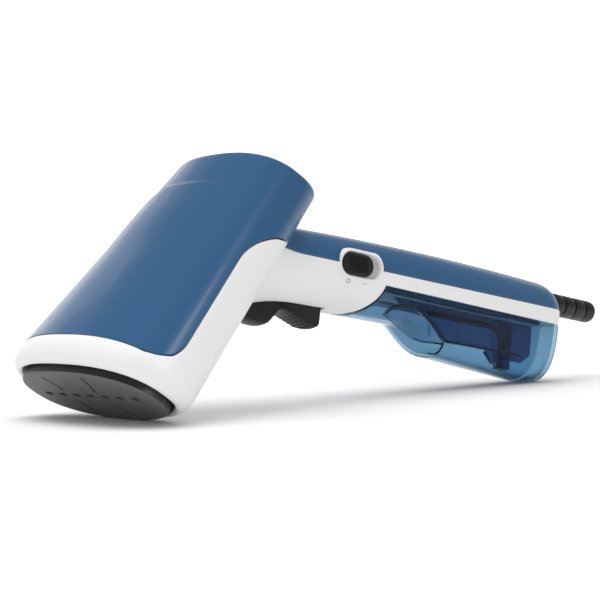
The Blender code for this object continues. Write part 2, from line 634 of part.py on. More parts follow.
def make_trigger():
    pivot_k, pivot_t = TRIGGER_PIVOT
    axis = new_frame("trigger_axis", HANDLE, (0, pivot_k, pivot_t))
    outline = arc(TRIGGER_PIVOT, 3.4, 180, 250, 5) + [(-54.5, 70.6), (-51.5, 68.6), (-45.5, 67.0)]
    outline += [(-43.2, 70.0), (-41.9, 75.0), (-41.4, 80.5), (-41.2, 84.6), (-42.7, 87.4), (-46.6, 90.7)]
    outline += [(-48.5, 93.4), (-48.6, 96.6), (-47.4, 101.8), (-45.6, 107.8), (-43.6, 113.8), (-43.4, 116.4)]
    outline += [(-44.2, 117.8), (-45.8, 118.3), (-55.4, 118.3), (-55.4, 96.0), (-59.2, 91.5), (-59.2, 81.5)]
    rings = []
    for share in (-1.0, -0.6, 0.0, 0.6, 1.0):
        crown = TRIGGER_CROWN * (1 - abs(share) ** 2.2)
        ring = []
        for k, t in outline:
            finger_side = min(max((k + 52.0) / 3.0, 0.0), 1.0)
            ring.append((share * TRIGGER_HALF_W, k + crown * finger_side - pivot_k, t - pivot_t))
        rings.append(ring)
    trigger = loft("trigger", axis, rings, "black_plastic")
    combine(trigger, cylinder("cut_trigger_bore", axis, 1.56, 30, (0, 0, 0), None, (0, 90, 0), 24))
    combine(trigger, box("cut_spring_bay", axis, (8.0, 12.0, 11.0), (0, -1.8, -0.5)))
    cylinder("trigger_pin", HANDLE, 1.5, 24.8, (0, pivot_k, pivot_t), "steel", (0, 90, 0), 24)
    coil = [(-2.0, -2.9, -3.4)]
    for index in range(31):
        angle = 2 * math.pi * index / 10
        coil.append((-2.0 + 4.0 * index / 30, -2.5 * math.cos(angle), 2.5 * math.sin(angle)))
    coil.append((2.0, -4.6, 5.0))
    spring = tube("trigger_spring", HANDLE, [(x, pivot_k + y, pivot_t + z) for x, y, z in coil], 0.35, "steel")
    spring.data.bevel_resolution = 1
    micro = box("microswitch", HANDLE, (6.0, 6.2, 16.0), (0, -66.0, 88.0), "black_plastic")
    combine(micro, box("cut_micro_well", HANDLE, (2.8, 4.0, 2.8), (0, -63.5, 88.0)))
    press = new_frame("microswitch_axis", HANDLE, (0, -62.0, 88.0))
    box("microswitch_button", press, (2.2, 3.6, 2.2), (0, 0.7, 0), "white_tube")


def make_pump():
    turned("pump_body", HANDLE, [(4.0, 26.0), (4.0, -14.0), (7.6, -14.0), (7.6, -20.0), (2.0, -20.0),
                                 (2.0, -26.0), (1.0, -26.0), (1.0, -18.0), (3.1, -18.0), (3.1, 26.0)],
           (0, PUMP_K, PUMP_T), "white_tube", (0, 0, 0), 18)
    turned("pump_coil", HANDLE, [(7.8, 12.0), (7.8, -12.0), (4.3, -12.0), (4.3, 12.0)],
           (0, PUMP_K, PUMP_T), "brass", (0, 0, 0), 20)
    stroke = new_frame("pump_stroke_axis", HANDLE, (0, PUMP_K, PUMP_T))
    cylinder("pump_piston", stroke, 2.9, 22.0, (0, 0, 2.0), "steel", (0, 0, 0), 18)
    coil = []
    for index in range(25):
        angle = 2 * math.pi * index / 6
        coil.append((2.2 * math.cos(angle), PUMP_K + 2.2 * math.sin(angle), 181.0 + 4.5 * index / 24))
    spring = tube("pump_spring", HANDLE, coil, 0.3, "steel")
    spring.data.bevel_resolution = 0
    turned("pump_cap", HANDLE, [(3.9, 0.0), (3.9, -2.0), (2.0, -2.0), (2.0, -8.0), (1.0, -8.0), (1.0, 0.0)],
           (0, PUMP_K, 223.4), "white_tube", (180, 0, 0), 16)
    inlet = [(0, SPOUT_K, 124.9), (0, SPOUT_K, 123.0), (-0.6, -62.0, 121.0), (-3.0, -67.0, 119.0), (-6.6, -75.0, 121.5),
             (-6.6, -79.0, 130.0), (-6.6, -79.0, 158.0), (-3.2, PUMP_K, 165.0), (0, PUMP_K, 168.6), (0, PUMP_K, 170.6)]
    tube("pump_inlet_hose", HANDLE, inlet, 1.9, "white_tube")
    outlet = [(0, PUMP_K, 232.2), (-0.6, PUMP_K, 234.4), (-4.5, -79.0, 237.4), (-9.0, -79.0, 236.2),
              (-11.2, -79.0, 231.0), (-11.2, -79.0, 170.0), (-11.4, -78.5, 130.0), (-11.0, -77.0, 104.0),
              (-6.5, -73.0, 84.0), (-6.0, -71.5, 68.0)]
    outlet += to_handle(((-8, 2, -68), (-12.5, 1, -52), (-14, 0, -44), (-14, 0, -39.6)))
    tube("steam_feed_hose", HANDLE, outlet, 1.9, "silicone")
    turned("spout_seal", HANDLE, [(4.3, 1.0), (4.3, -1.0), (3.35, -1.0), (3.35, 1.0)],
           (0, SPOUT_K, 139.2), "silicone", (0, 0, 0), 16)
    turned("spout_socket", HANDLE, [(4.3, 4.0), (4.3, -3.6), (2.1, -3.6), (2.1, -8.6), (1.2, -8.6), (1.2, -1.4),
                                    (3.4, -1.4), (3.4, 4.0)],
           (0, SPOUT_K, 134.0), "white_tube", (0, 0, 0), 16)


def make_electrics():
    board = box("control_board", HANDLE, (19.0, 1.6, 16.0), (0, -78.5, 249.9), "board_green")
    combine(board, box("cut_board_notch", HANDLE, (5.0, 4.0, 5.0), (8.0, -78.5, 243.0)))
    box("board_relay", HANDLE, (9.0, 5.0, 8.0), (-2.5, -82.2, 250.5), "black_plastic")
    terminal = box("terminal_block", HANDLE, (14.0, 7.0, 9.0), (0, -77.0, 274.5), "white_tube")
    for side in (-1, 1):
        port = box(f"cut_terminal_{side}", HANDLE, (4.0, 3.6, 12.0), (side * 3.6, -77.0, 274.5))
        combine(terminal, port)
    clamp = box("cord_clamp", HANDLE, (20.0, 3.0, 5.0), (0, -73.4, 287.0), "black_plastic")
    combine(clamp, cylinder("cut_clamp_seat", HANDLE, 3.6, 10, (0, SLEEVE_K + 0.6, 287)))
    tube("power_cord", HANDLE, [(0, SLEEVE_K, 280.5), (0, SLEEVE_K, CORD_END)], 3.1, "black_plastic")
    live = [(3.6, -77.0, 271.0), (5.5, -77.5, 266.5), (11.5, -74.5, 258.0), (13.2, -75.5, 240.0),
            (13.5, -74.2, 200.0), (12.5, -74.5, 166.0), (7.0, -77.0, 150.6), (7.0, -77.0, 147.4)]
    tube("live_wire", HANDLE, live, 1.0, "red_wire")
    neutral = [(-3.6, -77.0, 271.0), (-6.0, -77.5, 266.5), (-11.5, -75.0, 258.0), (-13.2, -75.0, 220.0),
               (-13.5, -75.0, 180.0), (-14.4, -74.0, 140.0), (-13.6, -69.0, 110.0), (-9.0, -66.5, 92.0),
               (-8.5, -66.5, 68.0)]
    neutral += to_handle(((-9, -12, -62), (-11.5, -HEATER_EXIT_Y, -46), (-11.8, -HEATER_EXIT_Y, -36.0)))
    tube("neutral_wire", HANDLE, neutral, 1.0, "blue_wire")
    heater = [(6.0, -77.0, 119.4), (5.0, -79.0, 112.0), (6.0, -76.0, 98.0), (8.5, -70.5, 84.0), (8.5, -68.5, 68.0)]
    heater += to_handle(((9, -12, -62), (11.5, -HEATER_EXIT_Y, -46), (11.8, -HEATER_EXIT_Y, -36.0)))
    tube("heater_wire", HANDLE, heater, 1.0, "red_wire")


def to_handle(points):
    """Plate-frame points, given in the handle frame."""
    turn = math.radians(180 - HANDLE_ANGLE)
    moved = []
    for x, y, z in points:
        moved.append((x, y * math.cos(turn) + z * math.sin(turn), -y * math.sin(turn) + z * math.cos(turn)))
    return moved


def make_sleeve():
    """A hollow sleeve: the cord fills its first half, and slots on both sides let its end bend."""
    end = SLEEVE_END - SLEEVE_COLLAR
    bore_start = CORD_END + 0.5 - SLEEVE_COLLAR
    radius = SLEEVE_RADIUS
    profile = [(4.6, end), (radius - 1.4, end), (radius - 0.4, end - 0.7), (radius, end - 2.2), (radius, 6.6),
               (4.6, 6.6), (4.6, 1.1), (6.0, 1.1), (6.0, -1.1), (3.5, -1.1), (3.5, bore_start), (4.6, bore_start)]
    sleeve = turned("strain_relief", HANDLE, profile, (0, SLEEVE_K, SLEEVE_COLLAR), "black_plastic", (0, 0, 0), 24)
    for index, t in enumerate(SLEEVE_SLOTS):
        for side in (-1, 1):
            slot = box(f"cut_sleeve_slot_{index}_{side}", HANDLE, (4.0, 11.0, 1.3), (side * 6.4, SLEEVE_K, t))
            combine(sleeve, slot)


# ---- tank, in the handle frame ----
def tank_outline(offset, top_drop, rear):
    """Tank region in (k, t): below the strip and behind the housing's round end."""
    edge = housing_edge(HOUSING_RADIUS + offset, top_drop)
    edge[0] = (strip_low(rear) + top_drop, rear)
    return edge + [(-20.0, SWITCH[1]), (-20.0, rear)]


def make_tank():
    slide = new_frame("tank_slide_axis", HANDLE)
    tank = handle_skin("tank_body", 0.0, "tank_clear")
    tank.parent = slide
    combine(tank, prism("cut_tank_keep", HANDLE, tank_outline(GAP, GAP, 320.0), -30, 30), "INTERSECT")
    inner = handle_skin("cut_tank_inside", TANK_WALL)
    room = tank_outline(GAP + TANK_WALL, -3.6, TANK_REAR_WALL)
    combine(inner, prism("cut_tank_room", HANDLE, room, -30, 30), "INTERSECT")
    combine(tank, inner)
    end = handle_skin("cut_tank_end_inside", TANK_WALL)
    low = TANK_REAR_WALL + TANK_WALL
    end_room = [(-72.0, low), (-20.0, low), (-20.0, 320.0), (-72.0, 320.0)]
    combine(end, prism("cut_tank_end_room", HANDLE, end_room, -30, 30), "INTERSECT")
    combine(tank, end)
    combine(tank, cylinder("cut_spout_hole", HANDLE, 3.5, 16, (0, SPOUT_K, 146), sides=16))
    combine(tank, box("cut_filler_hole", HANDLE, (10.0,) + FLAP, (-18.0,) + FLAP_PLACE))

    lid = handle_skin("tank_lid", TANK_WALL + GAP, "tank_clear")
    lid.parent = slide
    front = SWITCH[1] + HOUSING_RADIUS + 4.6
    lid_outline = [(strip_low(front) + 0.4, front), (strip_low(276.7) + 0.4, 276.7),
                   (strip_low(276.7) + 2.4, 276.7), (strip_low(front) + 2.4, front)]
    combine(lid, prism("cut_lid_keep", HANDLE, lid_outline, -30, 30), "INTERSECT")
    for side in (-1, 1):
        rail = box(f"add_rail_{side}", HANDLE, (2.0, 2.2, 112.0), (side * 9, strip_low(216) - 0.1, 216),
                   None, (-RAIL_LEAN, 0, 0))
        combine(lid, rail, "UNION")

    turned("tank_spout", slide, [(2.3, 9.4), (2.3, 1.8), (3.9, 1.8), (3.9, 0.0), (3.2, 0.0), (3.2, -18.0),
                                 (1.3, -18.0), (1.3, 9.4)],
           (0, SPOUT_K, 151.6), "white_tube", (0, 0, 0), 16)
    suction = [(0, SPOUT_K, 162.0), (0, SPOUT_K, 175.0), (0, -60.0, 255.0), (0, -58.0, 262.0), (0, -53.0, 265.0),
               (0, -42.5, 265.5)]
    tube("suction_tube", slide, suction, 1.6, "white_tube")
    cylinder("suction_filter", slide, 3.6, 5.0, (0, -39.4, 265.5), "white_tube", (90, 0, 0), 16)


def side_width(k, t):
    """Half-width of the handle and tank at a point on the finger side of the axis."""
    power = blend(2.2, 2.7, (t - 150.0) / 50.0)
    return GRIP_RADIUS * (1 - ((k - GRIP_CENTRE) / finger_depth(t)) ** power) ** (1 / power)


def make_flap():
    """The filler flap: a piece of the tank's wall that swings out on its lower edge."""
    flap = handle_skin("filler_flap", 0.0, "tank_clear")
    hinge_k = FLAP_PLACE[0] + FLAP[0] / 2 - GAP
    hinge = (-side_width(hinge_k, FLAP_PLACE[1]), hinge_k, FLAP_PLACE[1])
    flap.parent = new_frame("filler_flap_axis", bpy.data.objects["tank_slide_axis"], hinge)
    flap.data.transform(Matrix.Translation([-value * MM for value in hinge]))
    inner = handle_skin("cut_flap_inside", TANK_WALL)
    combine(flap, inner)
    keep = box("cut_flap_keep", HANDLE, (14.0, FLAP[0] - 2 * GAP, FLAP[1] - 2 * GAP), (-18.0,) + FLAP_PLACE)
    combine(flap, keep, "INTERSECT")


def make_all():
    make_head_shells()
    make_handle_shells()
    make_plate()
    make_generator()
    make_switch()
    make_trigger()
    make_pump()
    make_electrics()
    make_sleeve()
    make_tank()
    make_flap()


clear_scene()
PARTS = new_collection("handheld_steamer")
CUTTERS = new_collection("cutters")
MATERIALS = {name: new_material(name) for name in COLOURS}
PLATE = new_frame("plate_frame", None, (0, PLATE_CENTRE_Y, PLATE_CENTRE_Z), 90 + REST_PITCH)
HANDLE = new_frame("handle_frame", PLATE, (0, 0, 0), 180 - HANDLE_ANGLE)
make_all()
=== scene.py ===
"""Looks for the handheld garment steamer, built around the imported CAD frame.

Lengths are in millimetres and become metres when a mesh is made. Two local frames are used, as in the CAD:
  plate frame   x across, y up the head, z out of the steam plate
  handle frame  x across, k towards the finger side, t along the handle
"""

import json
import math

import bmesh
import bpy
from mathutils import Matrix, Vector

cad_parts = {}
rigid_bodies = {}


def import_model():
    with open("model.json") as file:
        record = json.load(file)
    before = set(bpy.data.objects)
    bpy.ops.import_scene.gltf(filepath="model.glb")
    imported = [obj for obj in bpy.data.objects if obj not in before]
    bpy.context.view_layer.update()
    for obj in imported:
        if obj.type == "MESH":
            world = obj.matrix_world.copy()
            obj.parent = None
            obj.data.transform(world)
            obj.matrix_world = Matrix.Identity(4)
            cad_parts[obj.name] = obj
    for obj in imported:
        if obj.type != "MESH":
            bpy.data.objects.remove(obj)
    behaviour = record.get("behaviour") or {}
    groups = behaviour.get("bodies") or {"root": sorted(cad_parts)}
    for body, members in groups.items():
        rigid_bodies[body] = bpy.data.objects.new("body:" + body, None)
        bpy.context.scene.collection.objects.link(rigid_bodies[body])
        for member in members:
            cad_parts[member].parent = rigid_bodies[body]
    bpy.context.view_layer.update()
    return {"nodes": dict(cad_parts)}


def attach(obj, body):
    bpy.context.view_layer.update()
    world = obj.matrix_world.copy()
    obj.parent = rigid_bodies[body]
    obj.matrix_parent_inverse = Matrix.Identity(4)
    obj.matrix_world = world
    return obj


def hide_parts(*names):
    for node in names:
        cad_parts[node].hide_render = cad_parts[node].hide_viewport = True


for old in list(bpy.data.objects):
    bpy.data.objects.remove(old)
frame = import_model()

# ---- driving dimensions: those shared with the CAD, and those of the finer surfaces ----
MM = 0.001
REST_PITCH = 56.84
PLATE_CENTRE = (0.0, -168.83, 10.40)
HANDLE_ANGLE = 65.3

PLATE_HALF = (44.0, 19.7)
PLATE_POWER = 2.34
SLOT_COUNT = 7
SLOT_PITCH = 10.3
SLOT_SIZE = (4.2, 1.9)
SLOT_RISE = 0.35
# x, y, lean in degrees and length of the plate's shallow grooves
GROOVES = ((-16.6, 9.6, -11.0, 11.0), (9.9, 10.2, 22.0, 13.4),
           (-15.6, -11.2, 4.0, 12.4), (10.9, -11.2, -32.0, 14.1))

RIM_SETBACK = 10.6
HEAD_LENGTH = 114.2
HEAD_TILT = 10.9
HEAD_BACK_TILT = 7.2
HEAD_FRONT = (51.5, 25.6)
HEAD_BACK = (37.2, 23.6)
HEAD_POWER = 2.5
DOME_DEPTH = 9.0
DOME_POWER = 2.0
# distance behind the plate and inset from the head's outline, from inside the rim outwards
RIM_PROFILE = ((8.0, 6.9), (5.0, 6.8), (3.6, 6.4), (3.05, 5.6), (3.0, 4.9), (3.1, 4.2),
               (3.6, 3.3), (4.4, 2.35), (5.4, 1.6), (6.5, 0.95), (7.8, 0.5), (9.2, 0.15))
RIM_INSET_UP = 0.72              # the rim's inset at the top and bottom, as a share of that at the sides
# distance along the head and depth below its axis of the seam between the blue cover and the white body
HEAD_SEAM = ((0.2, -17.5), (0.9, -14.2), (2.3, -11.4), (6.3, -6.9), (13.6, -4.9), (30.0, -4.9),
             (61.5, -4.9), (67.2, -3.9), (73.1, -1.5), (78.3, 1.8), (83.3, 6.0), (87.6, 11.5),
             (98.0, 24.0), (106.0, 33.0))
SEAM_END = 98.4                  # along the head, where the cover closes underneath
GAP = 0.3
SHELL_WALL = 2.2
FRONT_WALL = 2.0
ARCH_HALF_W = 30.0               # of the raised arch on top of the head
ARCH_MIDDLE = 55.0
ARCH_REACH = 36.0
ARCH_HEIGHT = 0.8
ARCH_EDGE = 1.9

GRIP_CENTRE = -70.4
GRIP_RADIUS = 19.0               # half of the handle's width
BACK_DEPTH = 19.9
BACK_POWER = 2.2                 # roundness of the handle's section on the back
FRONT_POWER = 2.7                # the same on the finger side of the tank
BACK_ROUNDER = 1.3               # above one, the rounded end is less full on the back
SEAM_K = -74.0
HANDLE_END = 302.0
END_CAP = 18.0
CAP_START = HANDLE_END - END_CAP
CAP_POWER = 2.7
END_FULLNESS = 0.75              # below one, the rounded end is fuller on the finger side
STRIP_LOW = ((150.0, -67.3), (302.0, -65.1))
SWITCH = (-74.0, 128.5)
SWITCH_TRAVEL = 6.0
BEZEL = (SWITCH[0] - 0.2, SWITCH[1] + 3.8)
HOUSING_RADIUS = 22.5
HOUSING_DEEPER = 1.0             # extra depth of the round end towards the fingers
TRIGGER_PIVOT = (-57.0, 76.0)
TRIGGER_BORE = 1.56
TRIGGER_HALF_W = 8.3
TRIGGER_CROWN = 1.7
TRIGGER_SLOT = (8.9, 120.2)      # half-width, and the end along the handle
SLEEVE_K = -79.4
SLEEVE_START = 293.0
SLEEVE_END = 346.4
SLEEVE_RADIUS = 6.45
SLEEVE_BORE = (4.6, 330.0)       # radius, and where the cord inside it ends
CORD_RADIUS = 3.3                # of the opening that the cord fills
SLEEVE_SLOTS = (306.5, 316.0, 326.0, 336.5)
HEAD_SCREW = (58.0, 16.0, 25.0)  # place along the head, to each side and below
TANK_WALL = 1.8
BOWL = (-48.6, 203.0, 10.6)      # k, t and radius of the round bowl under the arch
TANK_REAR_WALL = 277.0
FLAP = (11.0, 24.0)
FLAP_PLACE = (-56.0, 236.0)
SPOUT_K = -60.6
TANK_SIDE = 12.0                 # x of the inner wall's outer face
# k and t along the lines seen inside the tank
TANK_ARCH = ((-54.6, 158.0), (-57.6, 160.6), (-59.4, 164.6), (-60.3, 170.0), (-60.4, 177.0),
             (-59.1, 183.7), (-55.6, 190.7), (-51.5, 196.6), (-47.3, 201.8), (-46.2, 204.6))
TANK_CREASE = ((-46.2, 204.6), (-46.3, 215.0), (-45.8, 240.0), (-45.4, 268.0))
TANK_SLANT = ((-44.2, 236.5), (-38.6, 244.0))
TANK_FOLD = ((-44.6, 180.5), (-43.9, 188.2), (-44.4, 196.0), (-44.8, 203.0))

VIEW_AZIMUTH = math.radians(-43.27)
VIEW_ROLL = math.radians(-1.077)

PLATE = Matrix.Translation([value * MM for value in PLATE_CENTRE]) @ Matrix.Rotation(
    math.radians(90 + REST_PITCH), 4, "X")
HANDLE = PLATE @ Matrix.Rotation(math.radians(180 - HANDLE_ANGLE), 4, "X")


# ---- small maths ----
def blend(low, high, amount):
    amount = min(max(amount, 0.0), 1.0)
    return low + (high - low) * amount * amount * (3 - 2 * amount)


def signed_power(value, power):
    return math.copysign(abs(value) ** power, value)


def spaced(low, high, count):
    return [low + (high - low) * index / (count - 1) for index in range(count)]


def solve(function, low, high):
    """The place between low and high where a rising function crosses zero."""
    for _ in range(34):
        middle = (low + high) / 2
        if function(middle) < 0:
            low = middle
        else:
            high = middle
    return (low + high) / 2


def smooth_through(points):
    """A curve through points of rising first value, without overshoot."""
    xs = [p[0] for p in points]
    ys = [p[1] for p in points]
    rises = [(b - a) / (d - c) for a, b, c, d in zip(ys, ys[1:], xs, xs[1:])]
    slopes = [rises[0]]
    for before, after in zip(rises, rises[1:]):
        slopes.append(0.0 if before * after <= 0 else 2 * before * after / (before + after))
    slopes.append(rises[-1])

    def value(x):
        if x <= xs[0]:
            return ys[0]
        if x >= xs[-1]:
            return ys[-1] + slopes[-1] * (x - xs[-1])
        index = max(i for i, known in enumerate(xs) if known <= x)
        width = xs[index + 1] - xs[index]
        u = (x - xs[index]) / width
        return (ys[index] * (1 + 2 * u) * (1 - u) ** 2 + ys[index + 1] * u * u * (3 - 2 * u)
                + slopes[index] * width * u * (1 - u) ** 2 + slopes[index + 1] * width * u * u * (u - 1))
    return value


# ---- mesh helpers ----
SHARP = math.radians(35)


def linked(name, data):
    """A new object that shows the data in the scene."""
    thing = bpy.data.objects.new(name, data)
    bpy.context.scene.collection.objects.link(thing)
    return thing


def finish_mesh(shape, name, matrix):
    """Turns a bmesh in millimetres into an object whose mesh is in the world's metres."""
    bmesh.ops.transform(shape, matrix=matrix @ Matrix.Scale(MM, 4), verts=shape.verts)
    mesh = bpy.data.meshes.new(name)
    shape.to_mesh(mesh)
    shape.free()
    thing = linked(name, mesh)
    mesh.shade_smooth()
    mesh.set_sharp_from_angle(angle=SHARP)
    return thing


def grid(name, rows, matrix, outward, wrap=False, skip=None):
    """A sheet through rows of points; outward gives, for a point, the inside point to face away from."""
    shape = bmesh.new()
    verts = [[shape.verts.new(point) for point in row] for row in rows]
    for i in range(len(rows) - 1):
        columns = len(rows[i]) if wrap else len(rows[i]) - 1
        for j in range(columns):
            if skip and skip(i, j):
                continue
            after = (j + 1) % len(rows[i])
            shape.faces.new((verts[i][j], verts[i][after], verts[i + 1][after], verts[i + 1][j]))
    bmesh.ops.remove_doubles(shape, verts=shape.verts, dist=0.004)
    bmesh.ops.dissolve_degenerate(shape, dist=0.002, edges=shape.edges)
    loose = [v for v in shape.verts if not v.link_faces]
    bmesh.ops.delete(shape, geom=loose, context="VERTS")
    shape.normal_update()
    votes = 0.0
    for face in shape.faces:
        centre = face.calc_center_median()
        votes += face.normal.dot(centre - Vector(outward(centre))) * face.calc_area()
    if votes < 0:
        bmesh.ops.reverse_faces(shape, faces=shape.faces)
    return finish_mesh(shape, name, matrix)


def thicken(thing, thickness, edge=0.35):
    """Adds a wall on the inside of a sheet, with rounded edges."""
    solid = thing.modifiers.new("wall", "SOLIDIFY")
    solid.thickness = thickness * MM
    solid.offset = -1.0
    return soften(thing, edge)


def soften(thing, edge, segments=3, angle=50):
    rounding = thing.modifiers.new("rounded_edges", "BEVEL")
    rounding.width = edge * MM
    rounding.segments = segments
    rounding.limit_method = "ANGLE"
    rounding.angle_limit = math.radians(angle)
    rounding.use_clamp_overlap = False
    return thing


def baked(thing):
    """The object with its modifiers worked into its mesh."""
    bpy.context.view_layer.update()
    depsgraph = bpy.context.evaluated_depsgraph_get()
    mesh = bpy.data.meshes.new_from_object(thing.evaluated_get(depsgraph))
    thing.modifiers.clear()
    thing.data = mesh
    return thing


def cut(thing, cutter, operation="DIFFERENCE", crosses=False):
    """Cuts with a closed cutter; crosses says that the thing's own walls cross each other somewhere."""
    modifier = thing.modifiers.new("cut", "BOOLEAN")
    modifier.operation = operation
    modifier.object = cutter
    modifier.solver = "EXACT"
    modifier.use_self = crosses
    baked(thing)
    bpy.data.objects.remove(cutter)
    return thing


def resharpen(thing, angle=SHARP):
    """Smooth shading again after a cut, with the edges above the angle sharp."""
    thing.data.shade_smooth()
    thing.data.set_sharp_from_angle(angle=angle)
    return thing


def prism(name, outline, low, high, matrix, across="x"):
    """An outline carried along one axis: (k, t) outlines go along x, (x, y) outlines go along z."""
    shape = bmesh.new()
    ends = []
    for level in (low, high):
        if across == "x":
            points = [(level, a, b) for a, b in outline]
        else:
            points = [(a, b, level) for a, b in outline]
        ends.append([shape.verts.new(point) for point in points])
    for index in range(len(outline)):
        after = (index + 1) % len(outline)
        shape.faces.new((ends[0][index], ends[0][after], ends[1][after], ends[1][index]))
    shape.faces.new(list(reversed(ends[0])))
    shape.faces.new(ends[1])
    bmesh.ops.recalc_face_normals(shape, faces=shape.faces)
    return finish_mesh(shape, name, matrix)


def lathe(name, profile, place, matrix, steps, turn=(0, 0)):
    """A closed (radius, height) profile spun about z, turned about x and y and placed in a local frame."""
    shape = bmesh.new()
    rings = []
    for step in range(steps):
        around = 2 * math.pi * step / steps
        rings.append([shape.verts.new((r * math.cos(around), r * math.sin(around), h)) for r, h in profile])
    for step in range(steps):
        here = rings[step]
        after = rings[(step + 1) % steps]
        for index in range(len(profile)):
            nxt = (index + 1) % len(profile)
            if profile[index][0] == 0 and profile[nxt][0] == 0:
                continue
            shape.faces.new((here[index], here[nxt], after[nxt], after[index]))
    bmesh.ops.remove_doubles(shape, verts=shape.verts, dist=0.002)
    bmesh.ops.dissolve_degenerate(shape, dist=0.001, edges=shape.edges)
    bmesh.ops.recalc_face_normals(shape, faces=shape.faces)
    spin = Matrix.Rotation(math.radians(turn[1]), 4, "Y") @ Matrix.Rotation(math.radians(turn[0]), 4, "X")
    local = Matrix.Translation([value * MM for value in place]) @ spin
    return finish_mesh(shape, name, matrix @ local)


def rod(name, radius, reach, place, matrix, steps, turn=(0, 0)):
    """A plain round cutter that reaches the same distance both ways."""
    profile = [(0, reach), (radius, reach), (radius, -reach), (0, -reach)]
    return lathe(name, profile, place, matrix, steps, turn)


def wire(name, points, radius, matrix, closed=False, sides=6):
    """A round line through local points, as a mesh."""
    curve = bpy.data.curves.new(name, "CURVE")
    curve.dimensions = "3D"
    spline = curve.splines.new("POLY")
    spline.points.add(len(points) - 1)
    for target, point in zip(spline.points, points):
        target.co = list(matrix @ (Vector(point) * MM)) + [1.0]
    curve.bevel_depth = radius * MM
    curve.bevel_resolution = sides
    curve.use_fill_caps = not closed
    spline.use_cyclic_u = closed
    line = linked(name + "_line", curve)
    bpy.context.view_layer.update()
    mesh = bpy.data.meshes.new_from_object(line.evaluated_get(bpy.context.evaluated_depsgraph_get()))
    bpy.data.objects.remove(line)
    shape = bmesh.new()
    shape.from_mesh(mesh)
    bmesh.ops.remove_doubles(shape, verts=shape.verts, dist=0.000001)
    shape.to_mesh(mesh)
    shape.free()
    mesh.name = name
    mesh.materials.clear()
    mesh.shade_smooth()
    return linked(name, mesh)


def superellipse(half_x, half_y, power, count):
    points = []
    for index in range(count):
        angle = 2 * math.pi * index / count
        points.append((half_x * signed_power(math.cos(angle), 2 / power),
                       half_y * signed_power(math.sin(angle), 2 / power)))
    return points


def stadium(k, t, length, width):
    radius = width / 2
    outline = []
    for side in (1, -1):
        for angle in spaced(0.0, math.pi, 17):
            outline.append((k + side * radius * math.cos(angle),
                            t + side * (length / 2 - radius + radius * math.sin(angle))))
    return outline


def rectangle(centre, size):
    return [(centre[0] + a * size[0] / 2, centre[1] + b * size[1] / 2)
            for a, b in ((-1, -1), (1, -1), (1, 1), (-1, 1))]


def rounded(outline, rounds):
    """Corner-cutting: each pass cuts every corner at a quarter of its sides."""
    for _ in range(rounds):
        softer = []
        for here, after in zip(outline, outline[1:] + outline[:1]):
            softer.append(tuple(0.75 * a + 0.25 * b for a, b in zip(here, after)))
            softer.append(tuple(0.25 * a + 0.75 * b for a, b in zip(here, after)))
        outline = softer
    return outline


# ---- head surface, in the plate frame ----
TILT = math.radians(HEAD_TILT)
COVER_STEADY = math.radians(25)  # the cover's columns keep their angles above this


def head_outline(angle, half_w, half_h):
    return (half_w * signed_power(math.cos(angle), 2 / HEAD_POWER),
            half_h * signed_power(math.sin(angle), 2 / HEAD_POWER))


def head_sizes(share):
    """Half-width and half-height of the head at a share of its length."""
    return (HEAD_FRONT[0] + (HEAD_BACK[0] - HEAD_FRONT[0]) * share,
            HEAD_FRONT[1] + (HEAD_BACK[1] - HEAD_FRONT[1]) * share)


def on_head(s, rise):
    """(y, z) of a point at a distance along the head's axis and a rise square to it."""
    return (rise * math.cos(TILT) - s * math.sin(TILT),
            -RIM_SETBACK - s * math.cos(TILT) - rise * math.sin(TILT))


def head_surface(u, angle):
    """A point of the head's skin: u along the rings and the back dome, angle 0 at +x and 90 at the top."""
    factor = 1.0
    advance = 0.0
    ring = u
    if u > HEAD_LENGTH:
        ring = HEAD_LENGTH
        advance = min(u - HEAD_LENGTH, DOME_DEPTH)
        factor = max(1 - (advance / DOME_DEPTH) ** DOME_POWER, 0.0) ** (1 / DOME_POWER)
    share = ring / HEAD_LENGTH
    half_w, half_h = head_sizes(share)
    lean = math.radians((HEAD_TILT - HEAD_BACK_TILT) * share)
    x, up = head_outline(angle, half_w * factor, half_h * factor)
    y, z = on_head(ring + advance, 0.0)
    return x, y + up * math.cos(lean), z + up * math.sin(lean)


def along_head(point):
    """(s, v) of a point: along the head's axis, and below it."""
    _, y, z = point
    back = z + RIM_SETBACK
    return -(y * math.sin(TILT) + back * math.cos(TILT)), -y * math.cos(TILT) + back * math.sin(TILT)


def head_at(s, angle):
    """The skin's point at a distance along the axis above it, and on the matching ring below it."""
    if math.sin(angle) <= 0:
        return head_surface(s, angle)
    u = solve(lambda value: along_head(head_surface(value, angle))[0] - s, s - 2.0, s + 9.0)
    return head_surface(u, angle)


head_seam = smooth_through(HEAD_SEAM)
LOWEST = -math.pi / 2 + 0.0005   # the seam stays just off the middle line underneath


def seam_angle(s, gap):
    """The angle on the +x side where a row of the head crosses the seam."""
    def height(angle):
        along, below = along_head(head_at(s, angle))
        return head_seam(along + gap) + gap - below
    return solve(height, LOWEST, math.pi / 2)


def rows_at(stations):
    """Evenly spread stations from (start, end, step) pieces."""
    values = []
    for start, end, step in stations:
        count = max(int(round((end - start) / step)), 1)
        values += [start + (end - start) * index / count for index in range(count)]
    return values


def arch_step(point):
    """Height of the raised arch on top of the head."""
    s, below = along_head(point)
    if below > -5.0 or s < 48.0:
        return 0.0
    forward = max(s - ARCH_MIDDLE, 0.0)
    reach = (abs(point[0] / ARCH_HALF_W) ** 5 + (forward / ARCH_REACH) ** 5) ** 0.2
    outside = blend(0, 1, (reach - 1.0) * ARCH_HALF_W / ARCH_EDGE + 0.5)
    return ARCH_HEIGHT * blend(0, 1, (s - 50.0) / 26.0) * (1 - outside)


